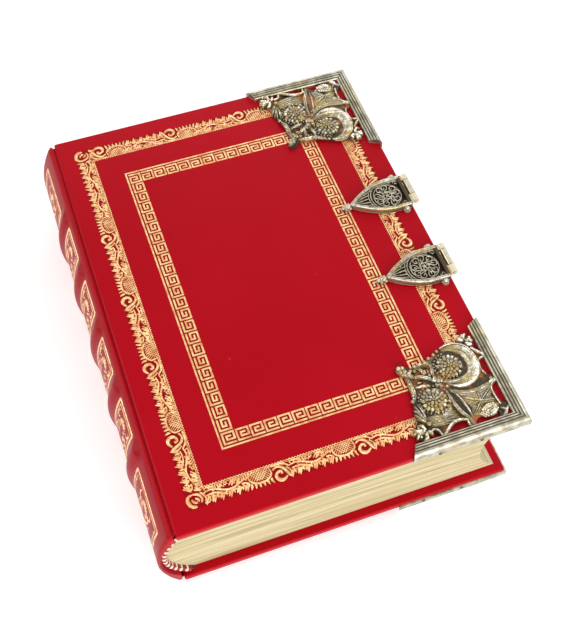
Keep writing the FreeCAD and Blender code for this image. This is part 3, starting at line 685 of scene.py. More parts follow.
def joint_strip(name, side):
    """The strip of one joint, upper for side 1 and lower for -1: a ribbon with turned-in ends."""
    groove = (26.12, 26.15, 26.72) if side > 0 else (26.62, 26.68, 26.86)
    section = [
        (-75.9, 26.4), (-75.3, 26.74), (-74.75, 26.6), (-74.3, groove[0]), (-73.85, groove[1]),
            (-73.4, groove[2]),
        (-72.9, 26.98), (-72.2, 27.07), (-71.2, 27.04),
    ]
    fresh()
    bpy.ops.mesh.primitive_grid_add(x_subdivisions=32, y_subdivisions=240, size=2)
    strip = bpy.context.object
    strip.name = name
    for vertex in strip.data.vertices:
        along = (vertex.co.x + 1) / 2 * (len(section) - 1)
        k = min(int(along), len(section) - 2)
        x0, z0 = section[k]
        x1, z1 = section[k + 1]
        x = x0 + (x1 - x0) * (along - k)
        inward = min(max((x + 75.3) / 1.9, 0), 1)
        half = spine_half - 0.2 * mm - inward * 1.2 * mm
        row = round((1 - abs(vertex.co.y)) * 120)
        turned_in = [(0.0, 1.3), (0.0, 0.45), (0.12, 0.2), (0.4, 0.05), (1.0, 0.0)]
        to_end, wrap = turned_in[row] if row < 5 else (1.0 + (row - 4) * (half / mm - 1.0) / 116, 0.0)
        y = math.copysign(half - to_end * mm, vertex.co.y)
        near_tail = (y + spine_half) / mm
        swell = math.sin(math.pi * along / (len(section) - 1))
        crease = 0.03 * math.sin(near_tail * 0.31 + along * 0.5) * swell
        if near_tail < crease_reach:
            crease += 0.16 * math.sin(near_tail * 2.6 + along * 1.1) * math.exp(-near_tail / 3.5) * swell
        z = z0 + (z1 - z0) * (along - k) + crease - wrap
        vertex.co = (x * mm, y, middle_z + side * z * mm)
    bpy.ops.object.modifier_add(type="SOLIDIFY")
    strip.modifiers[0].thickness = strip_thickness
    strip.modifiers[0].offset = -side
    bpy.ops.object.modifier_apply(modifier=strip.modifiers[0].name)
    outward(strip)
    bpy.ops.object.shade_smooth_by_angle(angle=math.radians(60))
    leather.on(strip)
    return strip


upper_joint = joint_strip("upper_joint", 1)
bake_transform(upper_joint)
lower_joint = joint_strip("lower_joint", -1)
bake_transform(lower_joint)


# The headbands. Silk wound over a core, white and red by turns, 3.9 mm for the pair: each turn
# of thread is a plump lump on the band, which lies along the curved back of the leaves.
band_centre, band_arc = -49.9 * mm, 29.9 * mm
headband_y, stitch_pitch = 103.9 * mm, 1.95 * mm
silks = {"white": [], "red": []}
for end, side in (("tail", -1), ("head", 1)):
    turns = 24
    for k in range(turns):
        turn = (k - (turns + 1) / 2) * stitch_pitch / band_arc
        spot = Vector((band_centre - band_arc * math.cos(turn), side * headband_y,
            middle_z + band_arc * math.sin(turn)))
        fresh()
        bpy.ops.mesh.primitive_uv_sphere_add(segments=16, ring_count=10, radius=1.0, location=(0, 0, 0))
        stitch = bpy.context.object
        wide, tall, long = (0.98, 1.35, 2.0) if k % 2 else (1.05, 1.3, 2.0)
        for vertex in stitch.data.vertices:
            out, along, up = vertex.co.x * tall * mm, vertex.co.y * long * mm, vertex.co.z * wide * mm
            up += along * 0.12
            c, s = math.cos(turn), math.sin(turn)
            vertex.co = spot + Vector((up * s - out * c, along, out * s + up * c))
        silks["white" if k % 2 else "red"].append(stitch)
white_silk = Finish("white_silk", paint(242, 218, 200), 0.55)
red_silk = Finish("red_silk", paint(150, 14, 30), 0.5)
for name, finish in (("white", white_silk), ("red", red_silk)):
    ply = finish.place.axis("X") * 1400 + finish.place.axis("Z") * 2300
    finish.feed("Normal", ply.maths("SINE").bump(0.05 * mm, 0.6))
    silk = joined(f"headband_{name}_silk", silks[name])
    bpy.ops.object.shade_smooth()
    finish.on(silk)
    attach(silk, "book_block")
core_card = Finish("headband_core", paint(120, 20, 30), 0.7)
core_card.feed("Roughness", 0.6 + 0.2 * core_card.place.noise(400, 2.0))
core_card.on(cad["headband_tail"], cad["headband_head"])


# The corner mounts. Silver gilt, worn to a warm grey: a drawn moulding with three ridges along each
# arm, mitred at the corner, whose flange is nailed to the board's edge. Sizes in millimetres.
fore_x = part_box("upper_cover_leather")[1].x / mm
tail_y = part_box("upper_cover_leather")[0].y / mm
gilt = Finish("silver_gilt", paint(200, 192, 172), 0.34, metallic=0.85)
rise = abs(gilt.place.axis("Z") - middle_z) - (upper_face - middle_z)
cloud = gilt.place.noise(110, 4.0)
warm = cloud.step(0.45, 0.72).mix(paint(206, 200, 186), paint(204, 184, 128))
rubbed = gilt.place.noise(700, 3.0)
warm = rubbed.step(0.3, 0.66).mix(paint(150, 142, 124), warm)
# Painted shade: what lies under 0.9 mm above the leather is painted dark brown, patina with painted shade.
hollow_shade_and_patina = rise.step(0.9 * mm, 1.9 * mm)
gilt.feed("Base Color", hollow_shade_and_patina.mix(paint(112, 96, 66), warm))
gilt.feed("Roughness", 0.28 + 0.22 * cloud)
gilt.feed("Normal", (gilt.place.noise(1500, 3.0) + rubbed * 0.5).bump(0.05 * mm, 0.45))

drawn_gilt = Finish("drawn_gilt", paint(206, 200, 182), 0.3, metallic=0.88)
cloud = drawn_gilt.place.noise(90, 4.0)
warm = cloud.step(0.35, 0.7).mix(paint(206, 198, 174), paint(214, 204, 172))
drawn_gilt.feed("Base Color", drawn_gilt.place.noise(500, 3.0).step(0.3, 0.6).mix(paint(194, 184, 156), warm))
drawn_gilt.feed("Roughness", 0.22 + 0.2 * cloud)
drawn_gilt.feed("Normal", drawn_gilt.place.noise(900, 3.0).bump(0.04 * mm, 0.35))

moulding = [
    (5.2, 0.0), (5.2, 1.7), (4.95, 2.05), (4.55, 2.1), (4.3, 1.65), (4.05, 1.65), (3.8, 2.35), (3.3, 2.5),
    (3.05, 2.0), (2.8, 2.0), (2.55, 2.65), (2.0, 2.75), (1.75, 2.25), (1.5, 2.25), (1.25, 2.75), (0.6, 2.7),
    (0.1, 2.3), (-0.45, 1.75), (-0.9, 1.0), (-0.9, -2.2), (0.0, -2.2), (0.0, 0.0),
]
frame_reach = fore_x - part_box("corner_frame_upper_tail")[0].x / mm
chance = random.Random(7)


def store_wear_and_light(piece, shares):
    """How worn and how brightly lit each point of a piece is painted: 0 in the hollows, painted shade, and 1
    on the tops, painted highlight.
    """
    layer = piece.data.attributes.new("wear_and_light", "FLOAT", "POINT")
    for point, share in zip(layer.data, shares):
        point.value = min(max(share, 0.0), 1.0)
    return piece


def mounted(name, pieces, finish, kind):
    """Joins what makes one upper tail piece, then copies it to all four corners of the book."""
    first = joined(name, pieces)
    finish.on(first)
    bpy.ops.object.shade_smooth_by_angle(angle=math.radians(35))
    for cover, up in (("upper", 1), ("lower", -1)):
        for end, side in (("tail", 1), ("head", -1)):
            piece = outward(copy_of(first, f"{name}_{cover}_{end}", lambda a, b, h: (
                (fore_x - a) * mm, (tail_y + b) * mm * side, middle_z + up * (upper_face - middle_z + h * mm)
            )))
            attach(piece, f"{cover}_cover")
            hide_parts(f"{kind}_{cover}_{end}")
    bpy.data.objects.remove(first)


arms = []
for flip in (False, True):
    fresh()
    bpy.ops.mesh.primitive_cylinder_add(vertices=len(moulding), radius=1, depth=2, end_fill_type="NGON")
    arm = bpy.context.object
    for vertex in arm.data.vertices:
        turn = math.atan2(vertex.co.x, vertex.co.y) / math.tau
        across, height_here = moulding[round(turn * len(moulding)) % len(moulding)]
        run = frame_reach - 0.5 * (across + 0.9) if vertex.co.z < 0 else across
        vertex.co = (across, run, height_here) if flip else (run, across, height_here)
    # Painted shade: the grooves between the ridges are stored dark, the ridges bright.
    spots = [(vertex.co.z, min(vertex.co.x, vertex.co.y)) for vertex in arm.data.vertices]
    store_wear_and_light(arm, [0.0 if 1.6 < level < 2.26 and 1.4 < across < 4.5 else 1.0 for level, across in spots])
    arms.append(arm)
ridged = Finish("ridged_gilt", paint(190, 184, 166), 0.3, metallic=0.8)
wear_and_light = ridged.stored("wear_and_light")
cloud = ridged.place.noise(90, 4.0)
warm = cloud.step(0.35, 0.7).mix(paint(192, 188, 174), paint(190, 180, 146))
warm = ridged.place.noise(260, 4.0).step(0.34, 0.6).mix(paint(146, 140, 122), warm)
# The grooves are painted dark grey-brown as painted shade; the ridges keep the worn silver gilt.
ridged.feed("Base Color", wear_and_light.step(0.1, 0.9).mix(paint(122, 114, 94), warm))
ridged.feed("Roughness", 0.24 + 0.2 * cloud)
ridged.feed("Normal", ridged.place.noise(900, 3.0).bump(0.04 * mm, 0.35))
mounted("mount_frame", arms, ridged, "corner_frame")


# The castings inside the frames. A pierced ground with high leaves, scrolls and blossoms, cast in
# one and chased, up to 3.8 mm high: dark and amber in the hollows, the dark patina deepened with
# painted shade, and silver on the worn tops, with painted highlights.
def along(points, share):
    """The point at a share of a smooth line through points."""
    spot = min(max(share, 0.0), 0.9999) * (len(points) - 1)
    k = int(spot)
    t = spot - k
    p0, p1, p2, p3 = (Vector(points[min(max(k + n, 0), len(points) - 1)]) for n in (-1, 0, 1, 2))
    bend = 2 * p0 - 5 * p1 + 4 * p2 - p3
    twist = 3 * p1 - 3 * p2 + p3 - p0
    return 0.5 * (2 * p1 + (p2 - p0) * t + bend * t * t + twist * t ** 3)


def lobe(path, half, low, high, point=0.8, ribs=0, cross=0, depth=0.2, around=16, rings=14, shine=1.0):
    """A leaf, petal or wing: a swelling along a path, flat beneath, with ribs along or across it."""
    fresh()
    bpy.ops.mesh.primitive_uv_sphere_add(segments=around, ring_count=rings, radius=1.0, location=(0, 0, 0))
    piece = bpy.context.object
    shares = []
    for vertex in piece.data.vertices:
        x, y, z = vertex.co
        share = 0.5 + math.asin(max(min(z, 1), -1)) / math.pi
        full = math.sqrt(max(1 - z * z, 0))
        u, v = (x / full, y / full) if full > 0.001 else (0, 0)
        centre = along(path, share)
        ahead = along(path, share + 0.02) - along(path, share - 0.02)
        sideways = Vector((-ahead.y, ahead.x)).normalized()
        groove = 0.0
        if ribs:
            groove += 0.5 + 0.5 * math.cos(math.pi * (ribs + 1) * (u + 1))
        if cross:
            groove += 0.5 + 0.5 * math.cos(math.tau * cross * share)
        spot = centre + sideways * u * half * full ** point
        level = low + (high - low) * v * (1 - depth * groove) * full ** 0.5 if v > 0 else low
        vertex.co = (spot.x, spot.y, level)
        # Painted light: bright along the crest, dark at the edges and in the rib grooves as painted shade.
        shares.append(shine * max(v, 0) ** 0.5 * (0.4 + 0.6 * full) * (1 - 0.7 * min(groove, 1)))
    return store_wear_and_light(piece, shares)


def bead(a, b, radius, level, shine=0.8):
    """A round grain, a little flattened."""
    fresh()
    bpy.ops.mesh.primitive_ico_sphere_add(subdivisions=2, radius=radius, location=(0, 0, 0))
    piece = bpy.context.object
    # Painted light: the grain is stored bright on top and dark beneath, a little varied at random.
    shine *= chance.uniform(0.65, 1.1)
    store_wear_and_light(piece, [shine * (0.15 + 0.85 * vertex.co.z / radius) for vertex in piece.data.vertices])
    for vertex in piece.data.vertices:
        vertex.co = (vertex.co.x + a, vertex.co.y + b, vertex.co.z * 0.8 + level - radius * 0.8)
    return piece


def rods(name, lines, smooth=5):
    """Round wires, each a list of a, b, height and radius, as one mesh."""
    piece = thick_lines(name, lines, 1.0, 1, smooth)
    # Painted light: a wire is stored bright where it faces up and dark on its sides, as shade.
    return store_wear_and_light(piece, [0.1 + 0.75 * vertex.normal.z for vertex in piece.data.vertices])


def round_path(a, b, radius, first, last, count):
    """Points on a circle about a, b from one angle to another, in degrees."""
    turns = [math.radians(first + (last - first) * k / (count - 1)) for k in range(count)]
    return [(a + radius * math.cos(turn), b + radius * math.sin(turn)) for turn in turns]


def sheaf(root, tips, half, low, high, bend=0.5, ribs=1, shine=1.0):
    """Leaves that spread from one root, each with a vein: shells, stars and the curls at the ends."""
    made = []
    for k, tip in enumerate(tips):
        away = Vector((tip[0] - root[0], tip[1] - root[1]))
        middle = Vector(root) + away * 0.55 + Vector((-away.y, away.x)) * 0.12 * bend * (-1) ** k
        top = high - 0.25 * (k % 3)
        made.append(lobe([root, middle, tip], half, low, top, 0.7, ribs=ribs, depth=0.35, around=18, rings=10,
            shine=shine))
    return made


rosette_places = [(34.2, 21.4), (21.4, 34.2)]
blossoms = []
for a, b in rosette_places:
    blossoms.append(lobe([(a - 5.5, b), (a, b), (a + 5.5, b)], 5.5, 0.9, 2.3, 1.0, around=28, rings=18,
        shine=0.3))
    for count, radius, size, level in ((15, 4.7, 0.92, 2.75), (12, 3.3, 0.84, 3.3), (8, 1.95, 0.74, 3.65),
        (4, 0.75, 0.62, 3.8), (22, 5.55, 0.5, 1.9)):
        for k in range(count):
            turn = math.tau * (k + 0.5 * (radius > 3)) / count + chance.uniform(-0.08, 0.08)
            reach = radius + chance.uniform(-0.2, 0.2)
            grain = bead(0, 0, size * chance.uniform(0.8, 1.1), size * 0.8, 0.85 if radius > 4 else 0.6)
            stretch = 1.35 if size > 0.7 else 1.0
            c, s = math.cos(turn), math.sin(turn)
            lift = level - size * 1.2 + chance.uniform(-0.2, 0.08)
            for vertex in grain.data.vertices:
                x, y, z = vertex.co
                x *= stretch
                vertex.co = (a + (reach + x) * c - y * s, b + (reach + x) * s + y * c, z + lift)
            blossoms.append(grain)
cast = Finish("cast_silver_gilt", paint(190, 180, 158), 0.36, metallic=0.8)
wear_and_light = cast.stored("wear_and_light")
patchy = cast.place.noise(420, 4.0).step(0.3, 0.72)
speckled = cast.place.noise(1200, 2.0).step(0.35, 0.7)
# Painted light: the stored wear and light makes the tops bright, up to a near-white painted highlight, and
# leaves the hollows dark, patina deepened with painted shade; some hollows keep amber gilding.
bright = wear_and_light * (0.42 + 0.5 * patchy + 0.35 * speckled)
gilded = cast.place.noise(130, 3.0).step(0.5, 0.62)
deep = gilded.mix(paint(62, 50, 34), paint(158, 98, 46))
middle = cast.place.noise(150, 3.0).step(0.42, 0.62).mix(paint(150, 140, 116), paint(164, 144, 90))
highlighted_tops = bright.step(0.38, 0.85).mix(middle, paint(240, 234, 218))
cast.feed("Base Color", bright.step(0.03, 0.3).mix(deep, highlighted_tops))
cast.feed("Roughness", 0.5 - 0.24 * wear_and_light)
cast.feed("Metallic", 0.45 + 0.4 * wear_and_light)
pebbles = cast.place.node("TexVoronoi", {}, {"Vector": cast.place, "Scale": 1300.0}, 0)
cast.feed("Normal", (cast.place.noise(800, 2.0) - pebbles * 0.9).bump(0.22 * mm, 0.8))
mounted("mount_blossoms", blossoms, cast, "corner_rosettes")

fresh()
ground_edge = [
    (47.0, 6.5), (48.6, 9.3), (46.8, 12.3), (44.9, 14.5), (44.6, 18.5), (43.4, 22.4), (41.4, 25.5),
    (40.4, 29.5), (40.4, 33.0), (41.4, 35.5), (43.4, 38.5), (43.6, 41.2), (41.3, 41.8), (38.0, 39.0),
    (34.5, 39.4), (30.0, 40.3), (27.0, 40.4), (22.5, 43.0), (17.5, 44.3), (13.0, 44.8), (9.5, 47.0),
    (7.0, 44.0), (8.3, 40.5), (8.6, 37.5), (5.0, 35.8), (5.0, 33.6), (8.0, 32.8), (8.7, 29.5), (8.2, 26.0),
    (5.0, 24.4), (5.0, 21.6), (7.9, 20.4), (8.2, 16.5), (7.3, 12.0), (5.0, 9.9), (5.0, 8.5), (7.3, 8.0),
    (9.2, 5.0), (10.8, 5.0), (10.4, 7.6), (14.0, 7.2), (18.0, 8.2), (21.2, 7.0), (21.9, 5.0), (24.4, 5.0),
    (24.8, 8.6), (28.0, 9.4), (31.5, 8.4), (35.3, 5.0), (38.0, 5.0), (39.0, 7.0), (41.0, 8.4), (43.0, 7.0),
    (43.6, 5.0), (45.6, 5.0),
]
drawn = bpy.data.curves.new("ground", "CURVE")
drawn.dimensions = "2D"
drawn.fill_mode = "BOTH"
drawn.extrude = 0.5
drawn.resolution_u = 3
holes = [
    round_path(25.6, 12.9, 0.95, 0, 300, 6),
    round_path(36.2, 31.2, 1.3, 0, 300, 6),
    round_path(31.4, 35.8, 1.4, 0, 300, 6),
]
for outline in [ground_edge] + holes:
    add_line(drawn, [(a, b, 0, 1) for a, b in outline]).use_cyclic_u = True
ground = as_mesh("ground", drawn)
for vertex in ground.data.vertices:
    vertex.co.z = 1.0 if vertex.co.z > 0 else 0.02

# The ground stores no wear and light, so it takes the dark hollow colour: patina with painted shade.
casting = [ground]
lines = []


def leaf(*shape, **looks):
    """Adds a lobe to the casting."""
    casting.append(lobe(*shape, **looks))


# the wing round the fore-edge rosette, pebbled, with a raised rim and a bright lip beneath
wing = [(21.6, 42.6), (18.0, 43.2), (14.6, 42.0), (12.1, 39.4), (10.9, 35.6), (10.9, 31.6), (12.3, 28.4),
    (15.2, 26.4), (19.0, 25.8), (23.0, 26.6), (26.0, 28.4)]
leaf(wing, 3.2, 0.6, 2.5, 0.5, around=26, rings=60, shine=0.8)
rim = [(22.0, 43.4), (18.4, 44.2), (14.4, 43.6), (11.0, 41.2), (9.3, 37.6), (8.7, 33.4), (9.0, 29.8)]
lines.append([(a, b, 1.9, 0.42) for a, b in rim])
inner_rim = [(16.0, 41.6), (13.3, 39.6), (11.7, 36.4), (11.4, 32.8), (12.2, 30.0)]
lines.append([(a, b, 2.45, 0.25) for a, b in inner_rim])
leaf([(26.4, 27.6), (22.4, 24.6), (18.4, 23.7), (14.0, 24.6), (10.8, 27.2), (9.2, 30.4)], 1.0, 0.8, 2.75, 0.5,
    around=14, rings=30)
leaf([(27.6, 28.6), (24.0, 26.9), (20.0, 26.4), (16.0, 27.2), (13.4, 29.0)], 1.1, 1.2, 2.8, 0.5, ribs=2,
    depth=0.3, around=24, rings=24, shine=0.85)
# the rings the rosettes stand in, broken into small leaves on the outside
for a, b in rosette_places:
    for k in range(26):
        turn = math.tau * k / 26
        spot = (a + 6.7 * math.cos(turn), b + 6.7 * math.sin(turn))
        if not (b > 30 and 95 < math.degrees(turn) < 265):
            casting.append(bead(spot[0], spot[1], 0.52 * chance.uniform(0.8, 1.25),
                1.9 + chance.uniform(-0.2, 0.3), 0.5))
# the long stems between the star leaf and the fan, and their dark gap
leaf([(27.6, 27.2), (27.2, 20.0), (26.0, 13.6), (23.6, 8.6), (22.6, 4.6)], 1.0, 0.6, 2.4, 0.4, ribs=1,
    depth=0.3, around=20, rings=26)
leaf([(25.6, 24.6), (23.3, 18.6), (22.2, 12.6), (21.8, 8.4)], 0.62, 0.6, 2.3, 0.35, around=12, rings=20,
    shine=0.9)
leaf([(24.4, 9.8), (24.8, 7.0), (24.2, 4.7)], 0.6, 0.4, 2.0, 0.4)
# the star leaf: broad pointed arms with fine veins, and the sweep of leaf above it to the frame
leaf([(26.6, 24.6), (21.6, 20.9), (15.6, 19.6), (9.6, 20.6), (4.8, 22.4)], 1.75, 0.6, 1.9, 0.4, ribs=2,
    depth=0.25, around=26, rings=26, shine=0.8)
for tip, half in (((21.2, 9.4), 2.3), ((22.6, 18.8), 2.9), ((15.2, 20.6), 2.6), ((8.4, 19.8), 2.4),
    ((9.4, 13.6), 2.2), ((20.9, 14.0), 2.6)):
    heart = Vector((15.6, 14.6))
    away = Vector(tip) - heart
    leaf([heart - away * 0.3, heart + away * 0.45, tip], half, 0.6, 2.1, 0.6, ribs=4, depth=0.3, around=36,
        rings=16, shine=0.72)
    lines.append([(*heart, 2.25, 0.16), (*(heart + away * 0.5), 2.25, 0.2),
        (*(heart + away * 0.97), 1.5, 0.12)])
leaf([(8.8, 21.4), (6.8, 22.2), (4.7, 22.6)], 0.8, 0.8, 2.2, 0.4)
casting.append(bead(7.0, 23.0, 0.8, 2.5))
# the pinecone, its cup and its stalk to the frame's corner
cone_root, cone_tip = Vector((17.2, 8.4)), Vector((8.6, 11.2))
leaf([cone_root, (cone_root + cone_tip) / 2 + Vector((0.1, 0.3)), cone_tip], 2.4, 0.6, 2.5, 0.55, shine=0.25)
run = (cone_tip - cone_root).normalized()
for row in range(-2, 3):
    for k in range(8):
        share = (k + 0.5 * (row % 2)) / 8
        wide = math.sin(math.pi * min(share + 0.1, 1)) ** 0.6
        spot = cone_root + run * share * 8.8 + Vector((-run.y, run.x)) * row * 1.05 * wide
        casting.append(bead(spot.x, spot.y, 0.7 * chance.uniform(0.85, 1.1),
            3.2 * wide ** 0.5 - 0.2 * abs(row), 1.15))
leaf([(9.9, 4.6), (7.8, 6.6), (4.9, 9.4)], 0.8, 0.4, 1.9, 0.3)
leaf([(9.4, 9.4), (7.2, 7.2), (8.6, 4.8)], 0.6, 0.8, 2.3, 0.5)
leaf([(19.6, 10.0), (16.0, 7.6), (11.0, 7.4)], 0.7, 0.6, 1.9, 0.5, shine=0.9)
# the shell, six ribs from the lower curl up to a knob
casting += sheaf((41.2, 12.2), [(44.9, 15.6), (45.0, 18.0), (44.5, 20.2), (43.4, 22.0), (41.9, 22.4),
    (40.4, 21.2)], 0.58, 0.7, 2.9, 0.2, 0, 0.72)
casting.append(bead(43.2, 23.4, 0.95, 2.7))
casting.append(bead(42.3, 24.6, 0.6, 2.2))
# the fan under the tail rosette: fine ribs that run from the curl to the stems, bright rod below
for k, (low, high) in enumerate(((10.3, 9.8), (11.4, 11.2), (12.6, 12.8), (13.8, 14.6))):
    leaf([(40.8, low + 0.8), (34.6, low - 0.1), (26.8, high - 0.6)], 1.15, 0.6, 2.2 - 0.1 * k, 0.45, ribs=2,
        depth=0.35, around=24, rings=22, shine=0.78)
leaf([(38.6, 15.0), (34.0, 13.6), (30.0, 15.2), (28.2, 19.4)], 1.5, 0.6, 2.1, 0.5, cross=16, depth=0.3,
    around=16, rings=50, shine=0.85)
casting.append(bead(41.0, 11.6, 1.1, 3.1))
lines.append([(37.0, 4.8, 1.2, 0.75), (34.2, 7.0, 1.9, 0.8), (31.0, 8.9, 2.1, 0.8), (27.6, 9.2, 2.0, 0.7),
    (24.4, 8.2, 1.6, 0.5)])
lines.append([(41.8, 7.0, 1.2, 0.4), (40.6, 8.7, 1.8, 0.6), (38.9, 8.3, 1.9, 0.6), (37.8, 6.4, 1.5, 0.6),
    (37.4, 4.8, 1.1, 0.5)])
# the leafy curls at the two ends, bright and ragged
casting += sheaf((43.0, 9.2), [(49.4, 8.8), (48.2, 11.4), (46.2, 12.6), (43.9, 12.6), (48.4, 6.6),
    (46.0, 5.2), (43.6, 4.9), (41.4, 6.2)], 1.0, 0.4, 3.4, 1.2, 0)
casting += sheaf((10.2, 43.2), [(13.2, 44.6), (12.2, 46.4), (10.2, 47.4), (7.8, 47.0), (6.3, 45.2),
    (5.9, 42.6), (6.9, 40.4), (9.4, 40.4)], 1.0, 0.4, 3.4, 1.2, 0)
for a, b, size in ((47.8, 9.4, 0.7), (46.2, 11.0, 0.75), (46.6, 6.8, 0.7), (44.4, 6.6, 0.75),
    (44.4, 9.0, 0.9), (9.2, 46.0, 0.75), (7.6, 44.2, 0.75), (11.4, 45.2, 0.7), (7.6, 41.6, 0.7),
    (9.6, 43.4, 0.9)):
    casting.append(bead(a, b, size * 0.7, 3.3, 1.0))
# the bud at the inner corner, three lumps on a ridged stem
leaf([(37.4, 34.2), (41.2, 37.6), (43.9, 40.3)], 1.6, 0.4, 2.4, 0.55, shine=0.5)
for a, b, size in ((42.9, 39.6, 1.25), (41.4, 39.4, 1.0), (42.6, 37.9, 1.0), (41.0, 37.6, 1.15),
    (39.6, 36.0, 1.0), (38.7, 36.9, 0.8), (40.0, 35.0, 0.75)):
    casting.append(bead(a, b, size, 3.3))
# the struts and small leaves round the two openings between the rosettes
leaf([(40.6, 35.8), (40.9, 31.0), (41.2, 26.4), (42.4, 23.8)], 1.2, 0.6, 2.2, 0.4, ribs=2, depth=0.3,
    around=24, rings=20)
leaf([(39.4, 34.6), (35.0, 33.3), (31.6, 31.0), (29.2, 27.8)], 0.95, 0.6, 2.6, 0.5, ribs=1, depth=0.3,
    around=20, rings=18)
leaf([(38.6, 37.2), (34.0, 38.5), (29.0, 39.2), (24.0, 41.9)], 1.1, 0.6, 2.4, 0.5, ribs=2, depth=0.3,
    around=20, rings=20)
leaf([(34.8, 38.2), (33.6, 35.8), (33.4, 32.6)], 0.95, 0.6, 2.5, 0.5, ribs=1, depth=0.3, around=18)
leaf([(29.4, 39.2), (28.9, 36.0), (29.8, 32.8), (28.9, 29.0)], 0.95, 0.6, 2.4, 0.5, ribs=1, depth=0.3,
    around=18)
leaf([(39.6, 29.6), (36.0, 28.9), (32.4, 28.3)], 0.9, 0.6, 2.3, 0.5, shine=0.8)
casting += sheaf((29.0, 28.6), [(32.0, 30.6), (30.0, 32.4), (27.4, 31.8), (26.6, 28.6), (28.2, 25.8),
    (31.0, 27.4)], 0.95, 0.9, 3.1, 0.6)
casting.append(bead(29.1, 28.8, 1.05, 3.4))
for a, b, size, level in (
    (36.0, 38.8, 0.85, 2.7), (33.6, 38.9, 0.75, 2.6), (31.0, 39.7, 0.8, 2.6), (28.6, 40.4, 0.85, 2.7),
    (25.8, 41.4, 0.8, 2.6), (23.6, 42.6, 0.75, 2.4), (41.2, 31.6, 0.75, 2.5), (41.4, 28.6, 0.75, 2.4),
    (42.0, 26.0, 0.7, 2.3), (36.8, 36.6, 0.8, 2.7), (33.4, 34.2, 0.7, 2.7), (31.6, 32.6, 0.7, 2.8),
    (37.4, 33.6, 0.75, 2.6), (26.4, 25.4, 0.7, 2.6), (25.6, 22.6, 0.6, 2.5), (35.0, 15.4, 0.7, 2.3),
    (33.2, 15.0, 0.6, 2.2), (31.4, 15.4, 0.7, 2.4), (29.8, 16.8, 0.65, 2.3), (28.4, 18.8, 0.6, 2.3),
):
    casting.append(bead(a, b, size, level))
lines += [
    [(8.3, 10.6, 1.2, 0.45), (9.0, 15.5, 1.5, 0.5), (8.2, 19.9, 1.4, 0.5), (4.8, 22.2, 1.3, 0.6)],
    [(8.0, 25.4, 1.4, 0.45), (9.0, 29.0, 1.6, 0.45), (8.2, 32.8, 1.4, 0.45), (4.8, 34.2, 1.3, 0.6)],
    [(8.9, 39.6, 1.8, 0.6), (6.8, 36.8, 1.7, 0.8), (4.8, 34.8, 1.4, 0.7)],
]
casting.append(rods("scrolls", lines))
mounted("mount_casting", casting, cast, "corner_openwork")
nail_brass = Finish("nail_heads", paint(96, 84, 62), 0.45, metallic=0.8)
nail_brass.feed("Roughness", 0.4 + 0.2 * nail_brass.place.noise(900, 2.0))
for cover in ("upper", "lower"):
    for end in ("tail", "head"):
        nail_brass.on(cad[f"corner_nails_{cover}_{end}"])


# The clasps. Each shield is a shallow silver-gilt tray with a doubled rim and a milled wall. Its
# dark ground holds curled wires: scrolls in a ring, side spirals and a fan out to the point.
shield_start, shield_tip, shield_shoulder, shield_half = 0.9, 29.5, 8.5, 9.2
clasp_places = (("tail", -22 * mm), ("head", 22 * mm))


def shield_side(a, inset=0.0):
    """Half the shield's width at a from the fore-edge."""
    share = max(a - shield_shoulder, 0) / (shield_tip - 1.2 * inset - shield_shoulder)
    return (shield_half - inset) * max(1 - min(share, 1) ** 1.84, 0)


def shield_line(inset, level, radius, start=0.0, count=22):
    """A wire round the shield from corner to point to corner."""
    first = shield_start + start + 0.4
    last = shield_tip - 1.6 * inset
    steps = [first + (last - first) * math.sin(math.pi / 2 * k / count) for k in range(count + 1)]
    upper = [(a, shield_side(a, inset), level, radius) for a in steps[:-1]]
    return upper + [(last, 0, level, radius)] + [(a, -w, h, r) for a, w, h, r in reversed(upper)]


def at_clasps(name, pieces, finish, kind=None):
    """Joins what makes one clasp's piece and sets it at both clasps."""
    first = joined(name, pieces)
    bpy.ops.object.shade_smooth_by_angle(angle=math.radians(40))
    finish.on(first)
    for end, middle in clasp_places:
        piece = outward(copy_of(first, f"{name}_{end}", lambda a, w, h: (
            (fore_x - a) * mm, middle + w * mm, upper_face + h * mm
        )))
        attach(piece, "upper_cover")
        if kind:
            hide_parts(f"{kind}_{end}")
    bpy.data.objects.remove(first)


lines = [
    shield_line(0.42, 2.85, 0.45), shield_line(1.25, 2.72, 0.36), shield_line(1.75, 1.75, 0.24, 1.0),
    shield_line(0.0, 0.35, 0.3),
]
for sign in (1, -1):
    for k in range(44):
        a = 1.5 + 27.0 * (k / 43) ** 0.95
        w = sign * (shield_side(a) + 0.03)
        lines.append([(a, w, 0.3, 0.2), (a, w, 2.5, 0.2)])
trim = [rods("shield_trim", lines, 3)]
grains = [(30.6, 0.0, 1.5, 2.9), (31.8, 0.95, 0.85, 2.0), (31.8, -0.95, 0.85, 2.0), (32.9, 0.0, 1.0, 2.1),
    (34.0, 0.0, 0.6, 1.5)]
grains += [(29.7, 1.25, 0.75, 1.9), (29.7, -1.25, 0.75, 1.9)]
for sign in (1, -1):
    grains += [(4.1, sign * 10.0, 1.05, 2.1), (2.9, sign * 9.9, 0.75, 1.6), (5.4, sign * 9.95, 0.75, 1.6),
        (4.1, sign * 11.15, 0.6, 1.2)]
for a, w, size, level in grains:
    trim.append(bead(a, w, size, level))
at_clasps("shield_trim", trim, gilt)

fresh()
drawn = bpy.data.curves.new("filigree_ground", "CURVE")
drawn.dimensions = "2D"
drawn.fill_mode = "BOTH"
drawn.extrude = 0.25
spline = drawn.splines.new("POLY")
edge = shield_line(1.4, 0, 0, 0.8)
spline.points.add(len(edge) - 1)
spline.use_cyclic_u = True
for knot, (a, w, h, r) in zip(spline.points, edge):
    knot.co = (a, w, 0, 1)
ground = as_mesh("filigree_ground", drawn)
for vertex in ground.data.vertices:
    vertex.co.z = 1.1 if vertex.co.z > 0 else 0.62

heart = 10.2


def on_wheel(reach, around, level, radius):
    """A point of a wire, at a reach and an angle in radians from the middle of the scrolls."""
    return heart + reach * math.cos(around), reach * math.sin(around), level, radius


